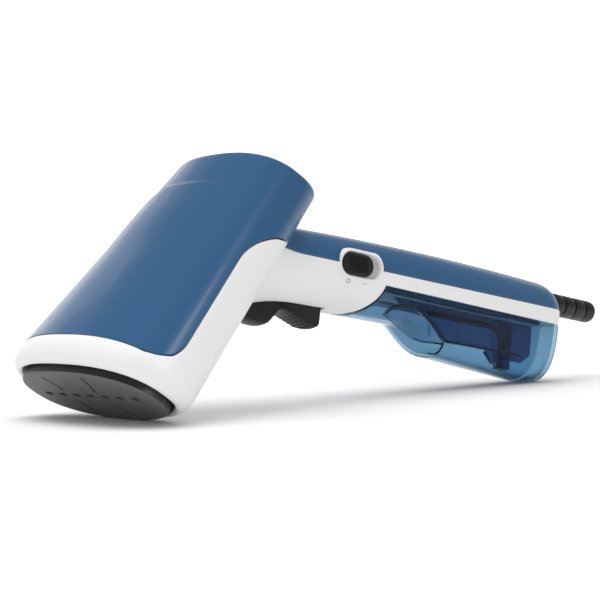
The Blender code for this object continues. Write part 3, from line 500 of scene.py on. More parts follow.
def head_axis(point):
    """The nearest point of the head's axis, which the skin faces away from."""
    s, _ = along_head(point)
    s = min(max(s, 6.0), HEAD_LENGTH - 8.0)
    return (0.0,) + on_head(s, 0.0)


def cover_angles(low):
    """Angles across a row of the cover: steady over the top, closer or wider only near the seam."""
    steady = max(COVER_STEADY, low + 0.25 * (math.pi / 2 - low))
    side = spaced(low, steady, 41)[:-1]
    return side + spaced(steady, math.pi - steady, 97) + [math.pi - angle for angle in reversed(side)]


def make_top_cover():
    rows = []
    for s in rows_at(((0.2, 1.2, 0.25), (1.2, 5.0, 0.6), (5.0, 50.0, 1.6), (50.0, 94.5, 0.9),
                      (94.5, SEAM_END, 0.15))):
        rows.append([head_at(s, angle) for angle in cover_angles(seam_angle(s, 0.0))])
    whole = cover_angles(-math.pi / 2)
    closed = SEAM_END + 0.2
    for share in spaced(0.0, 1.0, 14):
        row = []
        for angle in whole:
            start = solve(lambda u: along_head(head_surface(u, angle))[0] - closed - 0.1, 85.0, 112.0)
            start = max(start, closed)
            row.append(head_surface(start + (HEAD_LENGTH - start) * share, angle))
        rows.append(row)
    for index in range(1, 15):
        u = HEAD_LENGTH + DOME_DEPTH * math.sin(math.pi / 2 * index / 14) ** (2 / DOME_POWER)
        rows.append([head_surface(u, angle) for angle in whole])
    rows = [[(x, y + arch_step((x, y, z)), z) for x, y, z in row] for row in rows]
    return thicken(grid("top_cover", rows, PLATE, outward=head_axis), SHELL_WALL, 0.4)


def rim_sizes(inset):
    """Half-width and half-height of the rim's outline at an inset."""
    return HEAD_FRONT[0] - inset, HEAD_FRONT[1] - RIM_INSET_UP * inset


def make_lower_body():
    """The white body: a rim all round at the front, then a shell that is open above the seam."""
    lower = 121
    top_low = seam_angle(0.2, GAP)
    full = spaced(-math.pi - top_low, top_low, lower) + spaced(top_low, math.pi - top_low, 61)[1:-1]
    rows = []
    for setback, inset in RIM_PROFILE:
        rows.append([head_outline(angle, *rim_sizes(inset)) + (-setback,) for angle in full])
    for share in spaced(0.0, 1.0, 5):
        row = []
        for angle in full:
            edge = head_at(0.2 - GAP, angle) if math.sin(angle) > 0 else head_surface(0.12, angle)
            start = head_surface(0.0, angle)
            row.append(tuple(a + (b - a) * share for a, b in zip(start, edge)))
        rows.append(row)
    rim = len(rows)
    for s in rows_at(((0.5, 1.3, 0.2), (1.3, 5.0, 0.5), (5.0, 92.0, 1.5), (92.0, 94.0, 0.4))):
        low = seam_angle(s, GAP)
        row = [head_at(s, angle) for angle in spaced(-math.pi - low, low, lower)]
        rows.append(row + [row[-1]] * (len(full) - lower))

    def skip(i, j):
        return i >= rim - 1 and j >= lower - 1

    body = grid("lower_body", rows, PLATE, wrap=True, skip=skip, outward=head_axis)
    baked(thicken(body, SHELL_WALL, 0.4))
    place, across, below = HEAD_SCREW
    profile = [(0, 2.75), (3.5, 2.75), (3.5, -6.0), (0, -6.0)]
    for x in (-across, across):
        cut(body, lathe("well", profile, (x,) + on_head(place, -below), PLATE, 48, (90 - HEAD_TILT, 0)))
    return resharpen(body)


# ---- handle surface, in the handle frame ----
def finger_depth(t):
    """How far the handle, and the tank under it, stand out on the finger side of the axis."""
    near_head = 3.6 * min(max(1 - (t - 74.0) / 26.0, 0.0), 1.0) ** 2
    grip = blend(20.3, 19.4, (t - 112.0) / 16.0)
    bulge = blend(0.0, 13.6, (t - 175.5) / 28.0)
    return grip + near_head + bulge + 0.068 * max(t - 202.0, 0.0)


def back_depth(t):
    return BACK_DEPTH - 0.0002 * (t - 208.0) ** 2


def front_power(t):
    return blend(BACK_POWER, FRONT_POWER, (t - 150.0) / 50.0)


def cap_factor(t):
    advance = min(max((t - CAP_START) / END_CAP, 0.0), 1.0)
    return max(1 - advance ** CAP_POWER, 0.0) ** (1 / CAP_POWER)


def cap_stations(count, smallest=0.0):
    """Places along the end cap, closer together towards its end."""
    last = (1 - smallest ** CAP_POWER) ** (1 / CAP_POWER)
    bend = math.asin(min(last ** (CAP_POWER / 2), 1.0))
    return [CAP_START + END_CAP * math.sin(bend * index / count) ** (2 / CAP_POWER)
            for index in range(1, count + 1)]


def half_width(k, t, inset=0.0):
    """Half-width of the handle and tank at a height k."""
    factor = cap_factor(t)
    depth = k - GRIP_CENTRE
    if depth < 0:
        power = BACK_POWER
        reach = (back_depth(t) - inset) * factor
    else:
        power = front_power(t)
        reach = (finger_depth(t) - inset) * factor ** END_FULLNESS
    left = 1 - (abs(depth) / max(reach, 0.001)) ** power
    return (GRIP_RADIUS - inset) * factor * max(left, 0.0) ** (1 / power)


def depth_at(x, t, inset=0.0):
    """k of the finger side at a distance x from the middle."""
    factor = cap_factor(t)
    power = front_power(t)
    left = 1 - (abs(x) / max((GRIP_RADIUS - inset) * factor, 0.001)) ** power
    return GRIP_CENTRE + (finger_depth(t) - inset) * factor ** END_FULLNESS * max(left, 0.0) ** (1 / power)


def handle_seam(t):
    return SEAM_K - 1.2 * blend(0, 1, (92.0 - t) / 12.0)


def strip_low(t):
    (t0, k0), (t1, k1) = STRIP_LOW
    return k0 + (k1 - k0) * (t - t0) / (t1 - t0)


def round_end(t):
    """k of the housing's round end."""
    deeper = 1 + HOUSING_DEEPER / HOUSING_RADIUS
    return SWITCH[0] + deeper * math.sqrt(max(HOUSING_RADIUS ** 2 - (t - SWITCH[1]) ** 2, 0.0))


CORNER_T = solve(lambda t: strip_low(t) - round_end(t), SWITCH[1], SWITCH[1] + HOUSING_RADIUS)


def housing_low(t):
    """The finger-side limit of the white housing and its strip."""
    if t <= SWITCH[1]:
        return 0.0
    if t >= CORNER_T:
        return strip_low(t)
    return round_end(t)


def into_head(x, k):
    """t where a line along the handle leaves the head."""
    def depth(t):
        point = Matrix.Rotation(math.radians(180 - HANDLE_ANGLE), 3, "X") @ Vector((x, k, t))
        s, below = along_head(point)
        half_w, half_h = head_sizes(min(max(s / HEAD_LENGTH, 0.0), 1.0))
        parts = (x / half_w, below / half_h, max(s - HEAD_LENGTH, 0.0) / DOME_DEPTH)
        return sum(abs(part) ** HEAD_POWER for part in parts) - 1
    return solve(depth, 45.0, 118.0)


def flared(x, k, t, start):
    """Moves a handle point outwards near the head, so that the two meet in a fillet."""
    near = max(1 - (t - start) / FLARE_REACH, 0.0)
    push = FLARE_WIDTH * near * near
    larger = 1 + push / math.hypot(x, k - GRIP_CENTRE)
    return x * larger, GRIP_CENTRE + (k - GRIP_CENTRE) * larger, t


def handle_axis(point):
    """The nearest point of the handle's axis, a little lower in the tank and short of the end cap."""
    return 0.0, GRIP_CENTRE + (3.0 if point[2] > 150 else 0.0), min(point[2], CAP_START + 2.0)


FLARE_WIDTH = 0.7
FLARE_REACH = 2.24
INTO_HEAD = 1.2     # how far the handle's shells reach into the head's skin
JOIN = 104.0        # where the handle's sections start to be square to it
JOIN_SHARES = (0.0, 0.02, 0.05, 0.09, 0.14, 0.2, 0.27, 0.36, 0.48, 0.62, 0.8)


def section_rows(at, stations, columns):
    """Rows of a handle sheet: the first ones follow the head's skin, the rest are square to the handle."""
    rows = []
    starts = [into_head(*at(JOIN, index)) - INTO_HEAD for index in range(columns)]
    for share in JOIN_SHARES:
        row = []
        for index, start in enumerate(starts):
            t = start + (JOIN - start) * share
            x, k = at(t, index)
            row.append(flared(x, k, t, start + INTO_HEAD))
        rows.append(row)
    for t in stations:
        rows.append([at(t, index) + (t,) for index in range(columns)])
    return rows


def switch_hole():
    """The opening that the switch's raised ring fills."""
    return prism("switch_hole", stadium(*BEZEL, 29.6, 14.2), 12.0, 30.0, HANDLE)


def make_handle_back():
    columns = 97

    def at(t, index):
        seam = handle_seam(t) - GAP / 2
        width = GRIP_RADIUS * cap_factor(t)
        reach = back_depth(t) * cap_factor(t) ** BACK_ROUNDER
        low = math.asin(min((GRIP_CENTRE - seam) / reach, 1.0) ** 1.1)
        angle = low + (math.pi - 2 * low) * index / (columns - 1)
        return (width * signed_power(math.cos(angle), 2 / BACK_POWER),
                GRIP_CENTRE - reach * max(math.sin(angle), 0.0) ** (2 / BACK_POWER))

    smallest = ((GRIP_CENTRE - SEAM_K + GAP / 2) / back_depth(HANDLE_END)) ** (1 / BACK_ROUNDER)
    stations = rows_at(((JOIN, CAP_START, 3.0),)) + [CAP_START] + cap_stations(22, smallest)
    back = grid("handle_back", section_rows(at, stations, columns), HANDLE, outward=handle_axis)
    thicken(back, SHELL_WALL, 0.4)
    cut(back, switch_hole())
    return resharpen(back)


def make_handle_front():
    side = 40
    middle = 30
    columns = 2 * side + middle - 1
    slot = TRIGGER_SLOT[0]

    def at(t, index):
        seam = handle_seam(t) + GAP / 2
        low = housing_low(t)
        limit = slot
        if t > SWITCH[1]:
            limit = half_width(low, t)
            if t < CORNER_T:
                limit = max(limit, slot)
        turn = depth_at(limit, t) if limit == slot else low
        if index < side or index >= columns - side:
            sign = -1 if index < side else 1
            step = index if index < side else columns - 1 - index
            k = seam + (turn - seam) * step / (side - 1)
            return sign * half_width(k, t), k
        x = -limit + 2 * limit * (index - side + 1) / middle
        k = depth_at(x, t)
        return x, (min(k, low) if t > SWITCH[1] else k)

    curve = [SWITCH[1] + HOUSING_RADIUS * math.sin(a) for a in
             spaced(0.02, math.asin((CORNER_T - SWITCH[1]) / HOUSING_RADIUS), 34)]
    stations = rows_at(((JOIN, TRIGGER_SLOT[1], 1.5),)) + spaced(TRIGGER_SLOT[1], SWITCH[1], 6) + curve
    stations += rows_at(((CORNER_T + 0.6, CAP_START, 3.0),)) + [CAP_START]
    stations += cap_stations(22, (GRIP_CENTRE - SEAM_K) / back_depth(HANDLE_END))
    rows = section_rows(at, stations, columns)
    rows.append([(0.0, k, HANDLE_END - 0.05) for _, k, _ in rows[-1]])
    hole_rows = len(JOIN_SHARES) + stations.index(TRIGGER_SLOT[1])

    def skip(i, j):
        return i < hole_rows and side - 1 <= j < columns - side

    front = grid("handle_front", rows, HANDLE, skip=skip, outward=handle_axis)
    thicken(front, FRONT_WALL)
    cut(front, switch_hole(), crosses=True)
    return resharpen(front)


def make_switch_bezel():
    """The raised ring round the slide switch, with the pale floor its knob slides on; the floor's grey is
    painted shade of the recess it sits in.
    """
    k, t = BEZEL
    levels = ((14.0, 0.0), (18.4, 0.0), (19.0, -0.12), (19.35, -0.4), (19.5, -0.85), (19.5, -1.3),
              (19.35, -1.6), (19.0, -1.75), (18.0, -1.9), (17.7, -2.1), (17.6, -2.6))
    rows = [[(x, a, b) for a, b in stadium(k, t, 30.0 + 2 * grow, 14.6 + 2 * grow)] for x, grow in levels]
    ring = grid("switch_bezel", rows, HANDLE, wrap=True, outward=lambda p: (12.0, k, t))
    thicken(ring, 1.0, 0.12)
    window = stadium(SWITCH[0], SWITCH[1] + SWITCH_TRAVEL / 2, 18.5, 4.0)
    floor = prism("switch_floor", stadium(k, t, 27.6, 12.2), 16.6, 17.75, HANDLE)
    cut(floor, prism("window", window, 10.0, 30.0, HANDLE))
    resharpen(floor)
    return ring, floor


def make_knob():
    """The slide knob: a domed stadium with fine ribs across the thumb's direction."""
    k, t = SWITCH
    levels = ((17.85, -0.25), (18.1, 0.0), (19.9, 0.0), (20.5, -0.16), (20.8, -0.45), (20.9, -0.9))
    rows = [[(x, a, b) for a, b in stadium(k, t, 20.5 + 2 * grow, 10.4 + 2 * grow)] for x, grow in levels]
    for end, place in ((0, 0), (-1, len(rows) + 1)):
        spine = []
        for x, _, b in rows[end]:
            spine.append((x, k, t + (0.0 if abs(b - t) < 5 else math.copysign(4.0, b - t))))
        rows.insert(place, spine)
    knob = grid("slide_knob", rows, HANDLE, wrap=True, outward=lambda p: (19.4, k, t))
    ribs = []
    for index in range(11):
        place = t - 5.5 + 1.1 * index
        line = [(x, k + a, place) for x, a in ((20.86, -3.6), (21.02, -3.0), (21.02, 3.0), (20.86, 3.6))]
        ribs.append(wire(f"knob_rib_{index + 1}", line, 0.28, HANDLE, sides=3))
    return knob, ribs


def make_marks():
    """The O and I marks under the switch."""
    def printed(k, t):
        return half_width(k, t) + 0.08, k, t

    angles = [2 * math.pi * index / 32 for index in range(32)]
    ring = [printed(-65.7 + 0.95 * math.cos(angle), 124.2 + 1.1 * math.sin(angle)) for angle in angles]
    bar = [printed(-65.8, t) for t in spaced(134.3, 136.5, 5)]
    return (wire("mark_off", ring, 0.13, HANDLE, closed=True, sides=3),
            wire("mark_on", bar, 0.13, HANDLE, sides=3))


def make_rim_outline():
    """The faint raised outline on top of the white rim."""
    corners = ((-5.0, 7.6), (10.0, 7.6), (10.0, 10.0), (-5.0, 10.0))
    points = []
    for (x0, z0), (x1, z1) in zip(corners, corners[1:] + corners[:1]):
        for share in (0.0, 0.25, 0.5, 0.75):
            x = x0 + (x1 - x0) * share
            setback = z0 + (z1 - z0) * share
            half_w, half_h = rim_sizes(0.5 + (9.2 - setback) * 0.25 if setback < 9.2 else 0.15)
            points.append((x, half_h * (1 - abs(x / half_w) ** HEAD_POWER) ** (1 / HEAD_POWER), -setback))
    return wire("rim_outline", points, 0.16, PLATE, closed=True, sides=3)


# ---- steam plate ----
def plate_slab(name, levels, slot_size):
    """A closed slab of the plate's outline from (z, inset) levels, low one first, with its slots cut."""
    half_w, half_h = PLATE_HALF
    first, last = levels[0], levels[-1]
    rings = [first + (0.0,), first + (0.5,)] + [level + (1.0,) for level in levels]
    rows = []
    for z, inset, scale in rings + [last + (0.5,), last + (0.0,)]:
        rows.append([(x * scale, y * scale, z)
                     for x, y in superellipse(half_w - inset, half_h - inset, PLATE_POWER, 144)])
    middle = (first[0] + last[0]) / 2
    slab = grid(name, rows, PLATE, wrap=True, outward=lambda p: (p[0] * 0.8, p[1] * 0.8, middle))
    for index in range(SLOT_COUNT):
        x = (index - (SLOT_COUNT - 1) / 2) * SLOT_PITCH
        slot = rounded(rectangle((x, SLOT_RISE), slot_size), 2)
        cut(slab, prism("slot", slot, -9.0, 3.0, PLATE, "z"))
    return slab


def make_plate():
    """The coated face and the black skirt round it."""
    skirt = resharpen(plate_slab("plate_skirt", ((-6.6, 0.0), (-0.75, 0.0), (-0.7, 0.05)), SLOT_SIZE))
    mouth = (SLOT_SIZE[0] + 1.0, SLOT_SIZE[1] + 0.8)
    levels = ((-0.7, 0.12), (-0.6, 0.14), (-0.4, 0.27), (-0.15, 0.55), (0.0, 1.0), (0.0, 1.6))
    face = plate_slab("plate_face", levels, mouth)
    for x, y, lean, reach in GROOVES:
        line = []
        for part in spaced(-0.5, 0.5, 9):
            angle = math.radians(-lean)
            bow = 0.9 * (1 - 4 * part * part)
            line.append((x - math.sin(angle) * part * reach + bow, y + math.cos(angle) * part * reach))
        for half, depth in ((0.8, 0.25), (0.5, 0.6)):
            outline = [(a - half, b) for a, b in line] + [(a + half, b) for a, b in reversed(line)]
            cut(face, prism("groove", outline, -depth, 2.0, PLATE, "z"))
    crease = [(x, -3.4 - 2.2 * (x / 37.0) ** 2, 0.13) for x in spaced(-37.0, 37.0, 25)]
    cut(face, wire("crease", crease, 0.3, PLATE, sides=2))
    return resharpen(face), skirt


# ---- trigger ----
# k and t round the trigger: the finger rest, the saddle, the lever and the flat back
TRIGGER_OUTLINE = [
    (-59.0, 73.0), (-56.5, 72.0), (-54.5, 70.6), (-51.5, 68.6), (-45.8, 67.2), (-44.2, 68.2),
    (-43.2, 70.0), (-41.9, 75.0), (-41.4, 80.0), (-41.0, 84.2), (-41.4, 86.0), (-42.9, 87.6),
    (-46.6, 90.8), (-48.2, 92.8), (-48.8, 95.4), (-48.2, 99.2), (-47.0, 103.6), (-45.2, 109.2),
    (-43.8, 113.8), (-43.2, 116.6), (-43.9, 118.0), (-45.4, 118.4), (-52.0, 118.4), (-55.4, 118.4),
    (-55.4, 107.0), (-55.4, 96.0), (-57.0, 93.5), (-59.2, 91.5), (-59.2, 85.0), (-59.4, 78.0)]
TRIGGER_CORE = -52.0             # k below which the trigger's section isn't crowned
NEAR_SIDE = 0.875                # the near side slopes in to this share of the half-width


def trigger_crown(share):
    """How far the finger side stands out at a share of the half-width from the middle."""
    return TRIGGER_CROWN * (1 - abs(share) ** 2.2)


def make_trigger():
    """The trigger: a finger rest and a ribbed lever, with a crowned finger side."""
    outline = rounded(TRIGGER_OUTLINE, 2)
    rows = []
    for share in spaced(-1.0, 1.0, 17):
        row = []
        for k, t in outline:
            fade = min(max((k - TRIGGER_CORE) / 3.0, 0.0), 1.0)
            row.append((share * TRIGGER_HALF_W, k + trigger_crown(share) * fade, t))
        rows.append(row)
    for share, place in ((-1.0, 0), (NEAR_SIDE, len(rows) + 1)):
        x = share * TRIGGER_HALF_W
        rows.insert(place, [(x, TRIGGER_CORE, 85.0 + 0.25 * (t - 85.0)) for _, t in outline])
    body = grid("trigger_body", rows, HANDLE, wrap=True,
                outward=lambda p: (0.0, TRIGGER_CORE, min(max(p[2], 75.0), 112.0)))
    baked(soften(body, 1.0, 4, 60))
    cut(body, rod("bore", TRIGGER_BORE, 12, (0,) + TRIGGER_PIVOT, HANDLE, 40, (0, 90)))
    cut(body, prism("bay", rectangle((-58.8, 75.5), (12.0, 11.0)), -4.0, 4.0, HANDLE))
    resharpen(body)
    ribs = []
    for index in range(6):
        t = 99.5 + 2.8 * index
        k = -48.3 + 4.6 * (t - 99.5) / 14.4
        line = [(x, k + trigger_crown(x / TRIGGER_HALF_W) - 0.05, t) for x in spaced(-6.8, 6.8, 9)]
        ribs.append(wire(f"trigger_rib_{index + 1}", line, 0.32, HANDLE, sides=3))
    return body, ribs


# ---- cord sleeve ----
def make_sleeve():
    """The cord sleeve, almost smooth, with narrow slots on both sides where a flexible sleeve bends; this
    mesh does not bend.
    """
    end = SLEEVE_END - SLEEVE_START
    bore, cord_end = SLEEVE_BORE
    radius = SLEEVE_RADIUS
    profile = [(CORD_RADIUS, 0.0), (5.9, 0.0), (radius - 0.1, 0.5), (radius, 1.2)]
    for slot in SLEEVE_SLOTS:
        middle = slot - SLEEVE_START
        profile += [(radius, middle - 1.5), (radius - 0.12, middle - 0.7), (radius - 0.12, middle + 0.7),
                    (radius, middle + 1.5)]
    for bend in spaced(0.0, math.pi / 2, 7):
        profile.append((radius - 2.0 + 2.0 * math.cos(bend), end - 2.0 + 2.0 * math.sin(bend)))
    profile += [(bore, end - 0.4), (bore, cord_end - SLEEVE_START), (CORD_RADIUS, cord_end - SLEEVE_START)]
    sleeve = lathe("cord_sleeve", profile, (0, SLEEVE_K, SLEEVE_START), HANDLE, 72)
    for slot in SLEEVE_SLOTS:
        notch = rounded(rectangle((SLEEVE_K, slot), (10.6, 1.3)), 2)
        for low, high in ((-9.0, -3.4), (3.4, 9.0)):
            cut(sleeve, prism("notch", notch, low, high, HANDLE))
    return resharpen(sleeve)


# ---- tank ----
TANK_SHARP = math.radians(30)
CLEAR_K = -20.0     # clear of the tank on the finger side
CLEAR_T = 320.0     # clear of the tank's end


def tank_skin(name, inset, stations):
    """A closed skin of the handle's whole section, for cutting the tank from."""
    count = 112
    rows = [[(0.0, GRIP_CENTRE, stations[0])] * count]
    for t in stations:
        factor = cap_factor(t + (inset if t > CAP_START else 0.0))
        row = []
        for index in range(count):
            c = math.cos(2 * math.pi * index / count)
            s = math.sin(2 * math.pi * index / count)
            if s > 0:
                power = front_power(t)
                depth = (finger_depth(t) - inset) * factor ** END_FULLNESS
            else:
                power = BACK_POWER
                depth = (back_depth(t) - inset) * factor
            row.append(((GRIP_RADIUS - inset) * factor * signed_power(c, 2 / power),
                        GRIP_CENTRE + depth * signed_power(s, 2 / power), t))
        rows.append(row)
    rows.append([(0.0, GRIP_CENTRE, stations[-1])] * count)
    return grid(name, rows, HANDLE, wrap=True, outward=handle_axis)


BODY_STATIONS = rows_at(((118.0, 172.0, 6.0), (172.0, 208.0, 1.6), (208.0, CAP_START, 6.0)))
TANK_STATIONS = BODY_STATIONS + [CAP_START]


def tank_outline(offset, drop, rear):
    """(k, t) outline under the strip and behind the housing's round end, open on the finger side."""
    k, t = SWITCH
    radius = HOUSING_RADIUS + offset
    deeper = radius + HOUSING_DEEPER

    def below_strip(angle):
        return strip_low(t + radius * math.sin(angle)) + drop - k - deeper * math.cos(angle)

    outline = [(strip_low(rear) + drop, rear)]
    for angle in spaced(solve(below_strip, 0.0, math.pi / 2), 0.0, 40):
        outline.append((k + deeper * math.cos(angle), t + radius * math.sin(angle)))
    return outline + [(CLEAR_K, t), (CLEAR_K, rear)]


def make_tank():
    """The clear tank, hollow in front of its rear wall and in its tail, and the flap in its far side."""
    cap = cap_stations(18)[:-1]
    inner_stations = BODY_STATIONS + [t - TANK_WALL for t in cap]
    shell = tank_skin("tank_shell", 0.0, TANK_STATIONS + cap)
    cut(shell, prism("keep", tank_outline(GAP, GAP, CLEAR_T), -30, 30, HANDLE), "INTERSECT")
    tail_start = TANK_REAR_WALL + TANK_WALL
    tail_room = [(-72.0, tail_start), (CLEAR_K, tail_start), (CLEAR_K, CLEAR_T), (-72.0, CLEAR_T)]
    for room in (tank_outline(GAP + TANK_WALL, -3.6, TANK_REAR_WALL), tail_room):
        hollow = tank_skin("hollow", TANK_WALL, inner_stations)
        cut(hollow, prism("room", room, -30, 30, HANDLE), "INTERSECT")
        cut(shell, hollow)
    cut(shell, rod("spout_hole", 3.5, 8, (0, SPOUT_K, 146.0), HANDLE, 40))
    cut(shell, prism("filler", rectangle(FLAP_PLACE, FLAP), -26.0, -12.0, HANDLE))

    flap = tank_skin("flap_cover", 0.0, TANK_STATIONS)
    cut(flap, tank_skin("inside", TANK_WALL, TANK_STATIONS))
    inner = rectangle(FLAP_PLACE, (FLAP[0] - 2 * GAP, FLAP[1] - 2 * GAP))
    cut(flap, prism("keep", inner, -26.0, -10.0, HANDLE), "INTERSECT")
    return resharpen(shell, TANK_SHARP), resharpen(flap, TANK_SHARP)


def tank_floor(x, t):
    """k just inside the tank's finger side."""
    return depth_at(x, t, TANK_WALL + 0.5)


def make_tank_inside():
    """Inside the tank: a dark wall, a paler arched pane, their ribs, a bowl's edge and two posts."""
    rear = TANK_REAR_WALL - 0.8
    side = TANK_SIDE
    outline = [(strip_low(rear) + 3.2, rear), (strip_low(164.0) + 3.2, 164.0)] + list(TANK_ARCH[3:])
    outline += list(TANK_CREASE[1:3]) + list(TANK_SLANT)
    outline += [(tank_floor(side, t), t) for t in (252.0, 260.0, 268.0)]
    outline += [(tank_floor(side, 268.0) - 4.0, rear - 1.5), (-46.0, rear)]
    wall = prism("tank_inner_wall", outline, side - 1.2, side, HANDLE)
    ribs = []
    lines = (("arch", TANK_ARCH, 0.95), ("crease", TANK_CREASE, 0.75), ("slant", TANK_SLANT, 0.6))
    for name, points, radius in lines:
        ribs.append(wire(f"tank_{name}_rib", [(side + radius, k, t) for k, t in points], radius, HANDLE))
    bowl = []
    for angle in spaced(math.radians(5), math.radians(80), 16):
        t = BOWL[1] + BOWL[2] * 1.15 * math.sin(angle)
        bowl.append((2.0, min(BOWL[0] + BOWL[2] * math.cos(angle), tank_floor(2.0, t)), t))
    ribs.append(wire("tank_bowl_rib", bowl, 0.5, HANDLE))
    ribs.append(wire("tank_fold_rib", [(side, k, t) for k, t in TANK_FOLD], 0.5, HANDLE))
    pane = prism("tank_arch_pane", TANK_ARCH + TANK_FOLD[::-1], side - 2.2, side - 1.2, HANDLE)
    posts = []
    for index, t in enumerate((256.5, 262.0)):
        low = tank_floor(8.0, t)
        corners = [(-60.5, t), (-60.5, t + 2.4), (low, t + 2.4), (low, t)]
        posts.append(prism(f"tank_post_{index + 1}", corners, 5.0, 8.0, HANDLE))
    return wall, pane, ribs, posts


# ---- materials ----
def node_material(name):
    material = bpy.data.materials.new(name)
    material.use_nodes = True
    tree = material.node_tree
    return material, tree, tree.nodes["Principled BSDF"]


def fill(tree, node, values):
    """Sets a node's inputs: an output of another node is linked, anything else is a plain value."""
    for name, value in values.items():
        if isinstance(value, bpy.types.NodeSocket):
            tree.links.new(value, node.inputs[name])
        else:
            node.inputs[name].default_value = value
    return node


def add(tree, kind, **values):
    return fill(tree, tree.nodes.new("ShaderNode" + kind), values)


def noise(tree, scale, detail=3.0, stretch=(1, 1, 1)):
    """Noise in object coordinates, stretched along the world's axes."""
    where = add(tree, "TexCoord").outputs["Object"]
    mapping = add(tree, "Mapping", Scale=stretch, Vector=where)
    texture = add(tree, "TexNoise", Scale=scale, Detail=detail, Vector=mapping.outputs["Vector"])
    return texture.outputs["Fac"]


def ramp(tree, source, low, high, start=0.3, end=0.7):
    limits = {"From Min": start, "From Max": end, "To Min": low, "To Max": high}
    return add(tree, "MapRange", Value=source, **limits).outputs["Result"]


def tint(tree, source, first, second):
    mix = tree.nodes.new("ShaderNodeMix")
    mix.data_type = "RGBA"
    return fill(tree, mix, {"A": first + (1.0,), "B": second + (1.0,), "Factor": source}).outputs["Result"]


def bump(tree, source, strength, depth):
    return add(tree, "Bump", Strength=strength, Distance=depth, Height=source).outputs["Normal"]


def calculated(tree, operation, first, second):
    result = tree.nodes.new("ShaderNodeMath")
    result.operation = operation
    tree.links.new(first, result.inputs[0])
    tree.links.new(second, result.inputs[1])
    return result.outputs["Value"]


def moulded(name, colour, roughness, grain=900.0, relief=0.00002, *, coat=0.0, change=0.06,
            metallic=0.0, strength=0.25, stretch=(1, 1, 1), uneven=0.15, shine=0.5):
    """Moulded plastic, rubber or metal: a fine surface grain, uneven gloss and slight colour change."""
    material, tree, shader = node_material(name)
    darker = tuple(value * (1 - change) for value in colour)
    lighter = tuple(min(value * (1 + change), 1.0) for value in colour)
    broad = ramp(tree, noise(tree, 22.0, 2.0), 0.0, 1.0)
    fine = noise(tree, grain, 3.0, stretch)
    values = {
        "Base Color": tint(tree, broad, darker, lighter),
        "Roughness": ramp(tree, fine, roughness * (1 - uneven), min(roughness * (1 + uneven), 1.0)),
        "Metallic": metallic,
        "Coat Weight": coat,
        "Coat Roughness": 0.06,
        "Specular IOR Level": shine,
    }
    if strength:
        values["Normal"] = bump(tree, fine, strength, relief)
    fill(tree, shader, values)
    return material


def clear_blue(name, clear, deep, bend):
    """Clear blue tank plastic, deeper in colour where it is seen edge-on."""
    material, tree, shader = node_material(name)
    edge = add(tree, "LayerWeight", Blend=0.3).outputs["Facing"]
    fine = noise(tree, 260.0, 2.0)
    fill(tree, shader, {
        "Base Color": tint(tree, edge, clear, deep),
        "Roughness": ramp(tree, fine, 0.01, 0.03),
        "Transmission Weight": 1.0,
        "IOR": bend,
        "Normal": bump(tree, fine, 0.03, 0.00002),
    })
    return material


INNER = 1.08        # light hardly bends in the plastic inside the tank, as if it stood in water


def make_materials():
    brushed = {"metallic": 1.0, "stretch": (1, 14, 1)}
    return {
        "blue": moulded("blue_gloss_shell", (0.022, 0.099, 0.228), 0.26, 1400.0,
                        coat=0.25, change=0.02, strength=0.0, uneven=0.02),
        "white": moulded("white_satin_shell", (0.85, 0.85, 0.855), 0.42, 1600.0,
                         change=0.012, strength=0.12),
        # the switch floor's mid grey is painted shade of its recess, darker than the white shell it belongs
        # with
        "pale": moulded("grey_painted_shade_floor", (0.46, 0.46, 0.46), 0.5, 1600.0, change=0.02),
        "black": moulded("black_grained_plastic", (0.013, 0.013, 0.014), 0.42, 1500.0, 0.00004,
                         change=0.15, strength=0.4, shine=0.2),
        "rubber": moulded("black_flexible_sleeve", (0.011, 0.011, 0.012), 0.36, 1100.0, 0.00004,
                          change=0.15, strength=0.4, shine=0.3),
        "plate": moulded("plate_ceramic_coating", (0.115, 0.115, 0.117), 0.5, 2600.0, 0.00003,
                         change=0.05, strength=0.4, shine=0.25),
        "plate_edge": moulded("plate_dark_edge", (0.012, 0.012, 0.013), 0.4, 2600.0, change=0.1),
        "mark": moulded("grey_printed_mark", (0.22, 0.22, 0.22), 0.5, 1600.0, change=0.03),
        "tank": clear_blue("tank_clear_blue", (0.42, 0.62, 0.75), (0.06, 0.19, 0.35), 1.18),
        "tank_dark": clear_blue("tank_inner_blue", (0.06, 0.15, 0.31), (0.02, 0.07, 0.17), INNER),
        "tank_mid": clear_blue("tank_arch_blue", (0.66, 0.66, 0.76), (0.30, 0.40, 0.52), INNER),
        "tank_deep": clear_blue("tank_lid_blue", (0.02, 0.10, 0.18), (0.01, 0.05, 0.10), INNER),
        "tank_line": moulded("tank_dark_rib", (0.012, 0.035, 0.075), 0.3, change=0.05),
        "milky": moulded("milky_moulding", (0.55, 0.62, 0.68), 0.4, change=0.03),
        "aluminium": moulded("cast_aluminium", (0.58, 0.58, 0.6), 0.42, 700.0, 0.00006,
                             change=0.08, metallic=1.0, strength=0.5),
        "steel": moulded("brushed_steel", (0.5, 0.5, 0.52), 0.28, 500.0, 0.00003, **brushed),
        "brass": moulded("turned_brass", (0.66, 0.45, 0.17), 0.3, 600.0, 0.00003, **brushed),
        "silicone": moulded("red_silicone", (0.6, 0.2, 0.12), 0.6, 800.0, 0.00004),
        "board": moulded("green_board_lacquer", (0.02, 0.16, 0.06), 0.35, 900.0, 0.00005, change=0.2),
        "red": moulded("red_wire_cover", (0.42, 0.02, 0.02), 0.45),
        "wire_blue": moulded("blue_wire_cover", (0.02, 0.06, 0.42), 0.45),
        "mica": moulded("mica_sheet", (0.5, 0.44, 0.34), 0.55, 300.0, 0.00008, change=0.2),
    }


def dress(thing, look):
    thing.data.materials.clear()
    thing.data.materials.append(LOOKS[look])


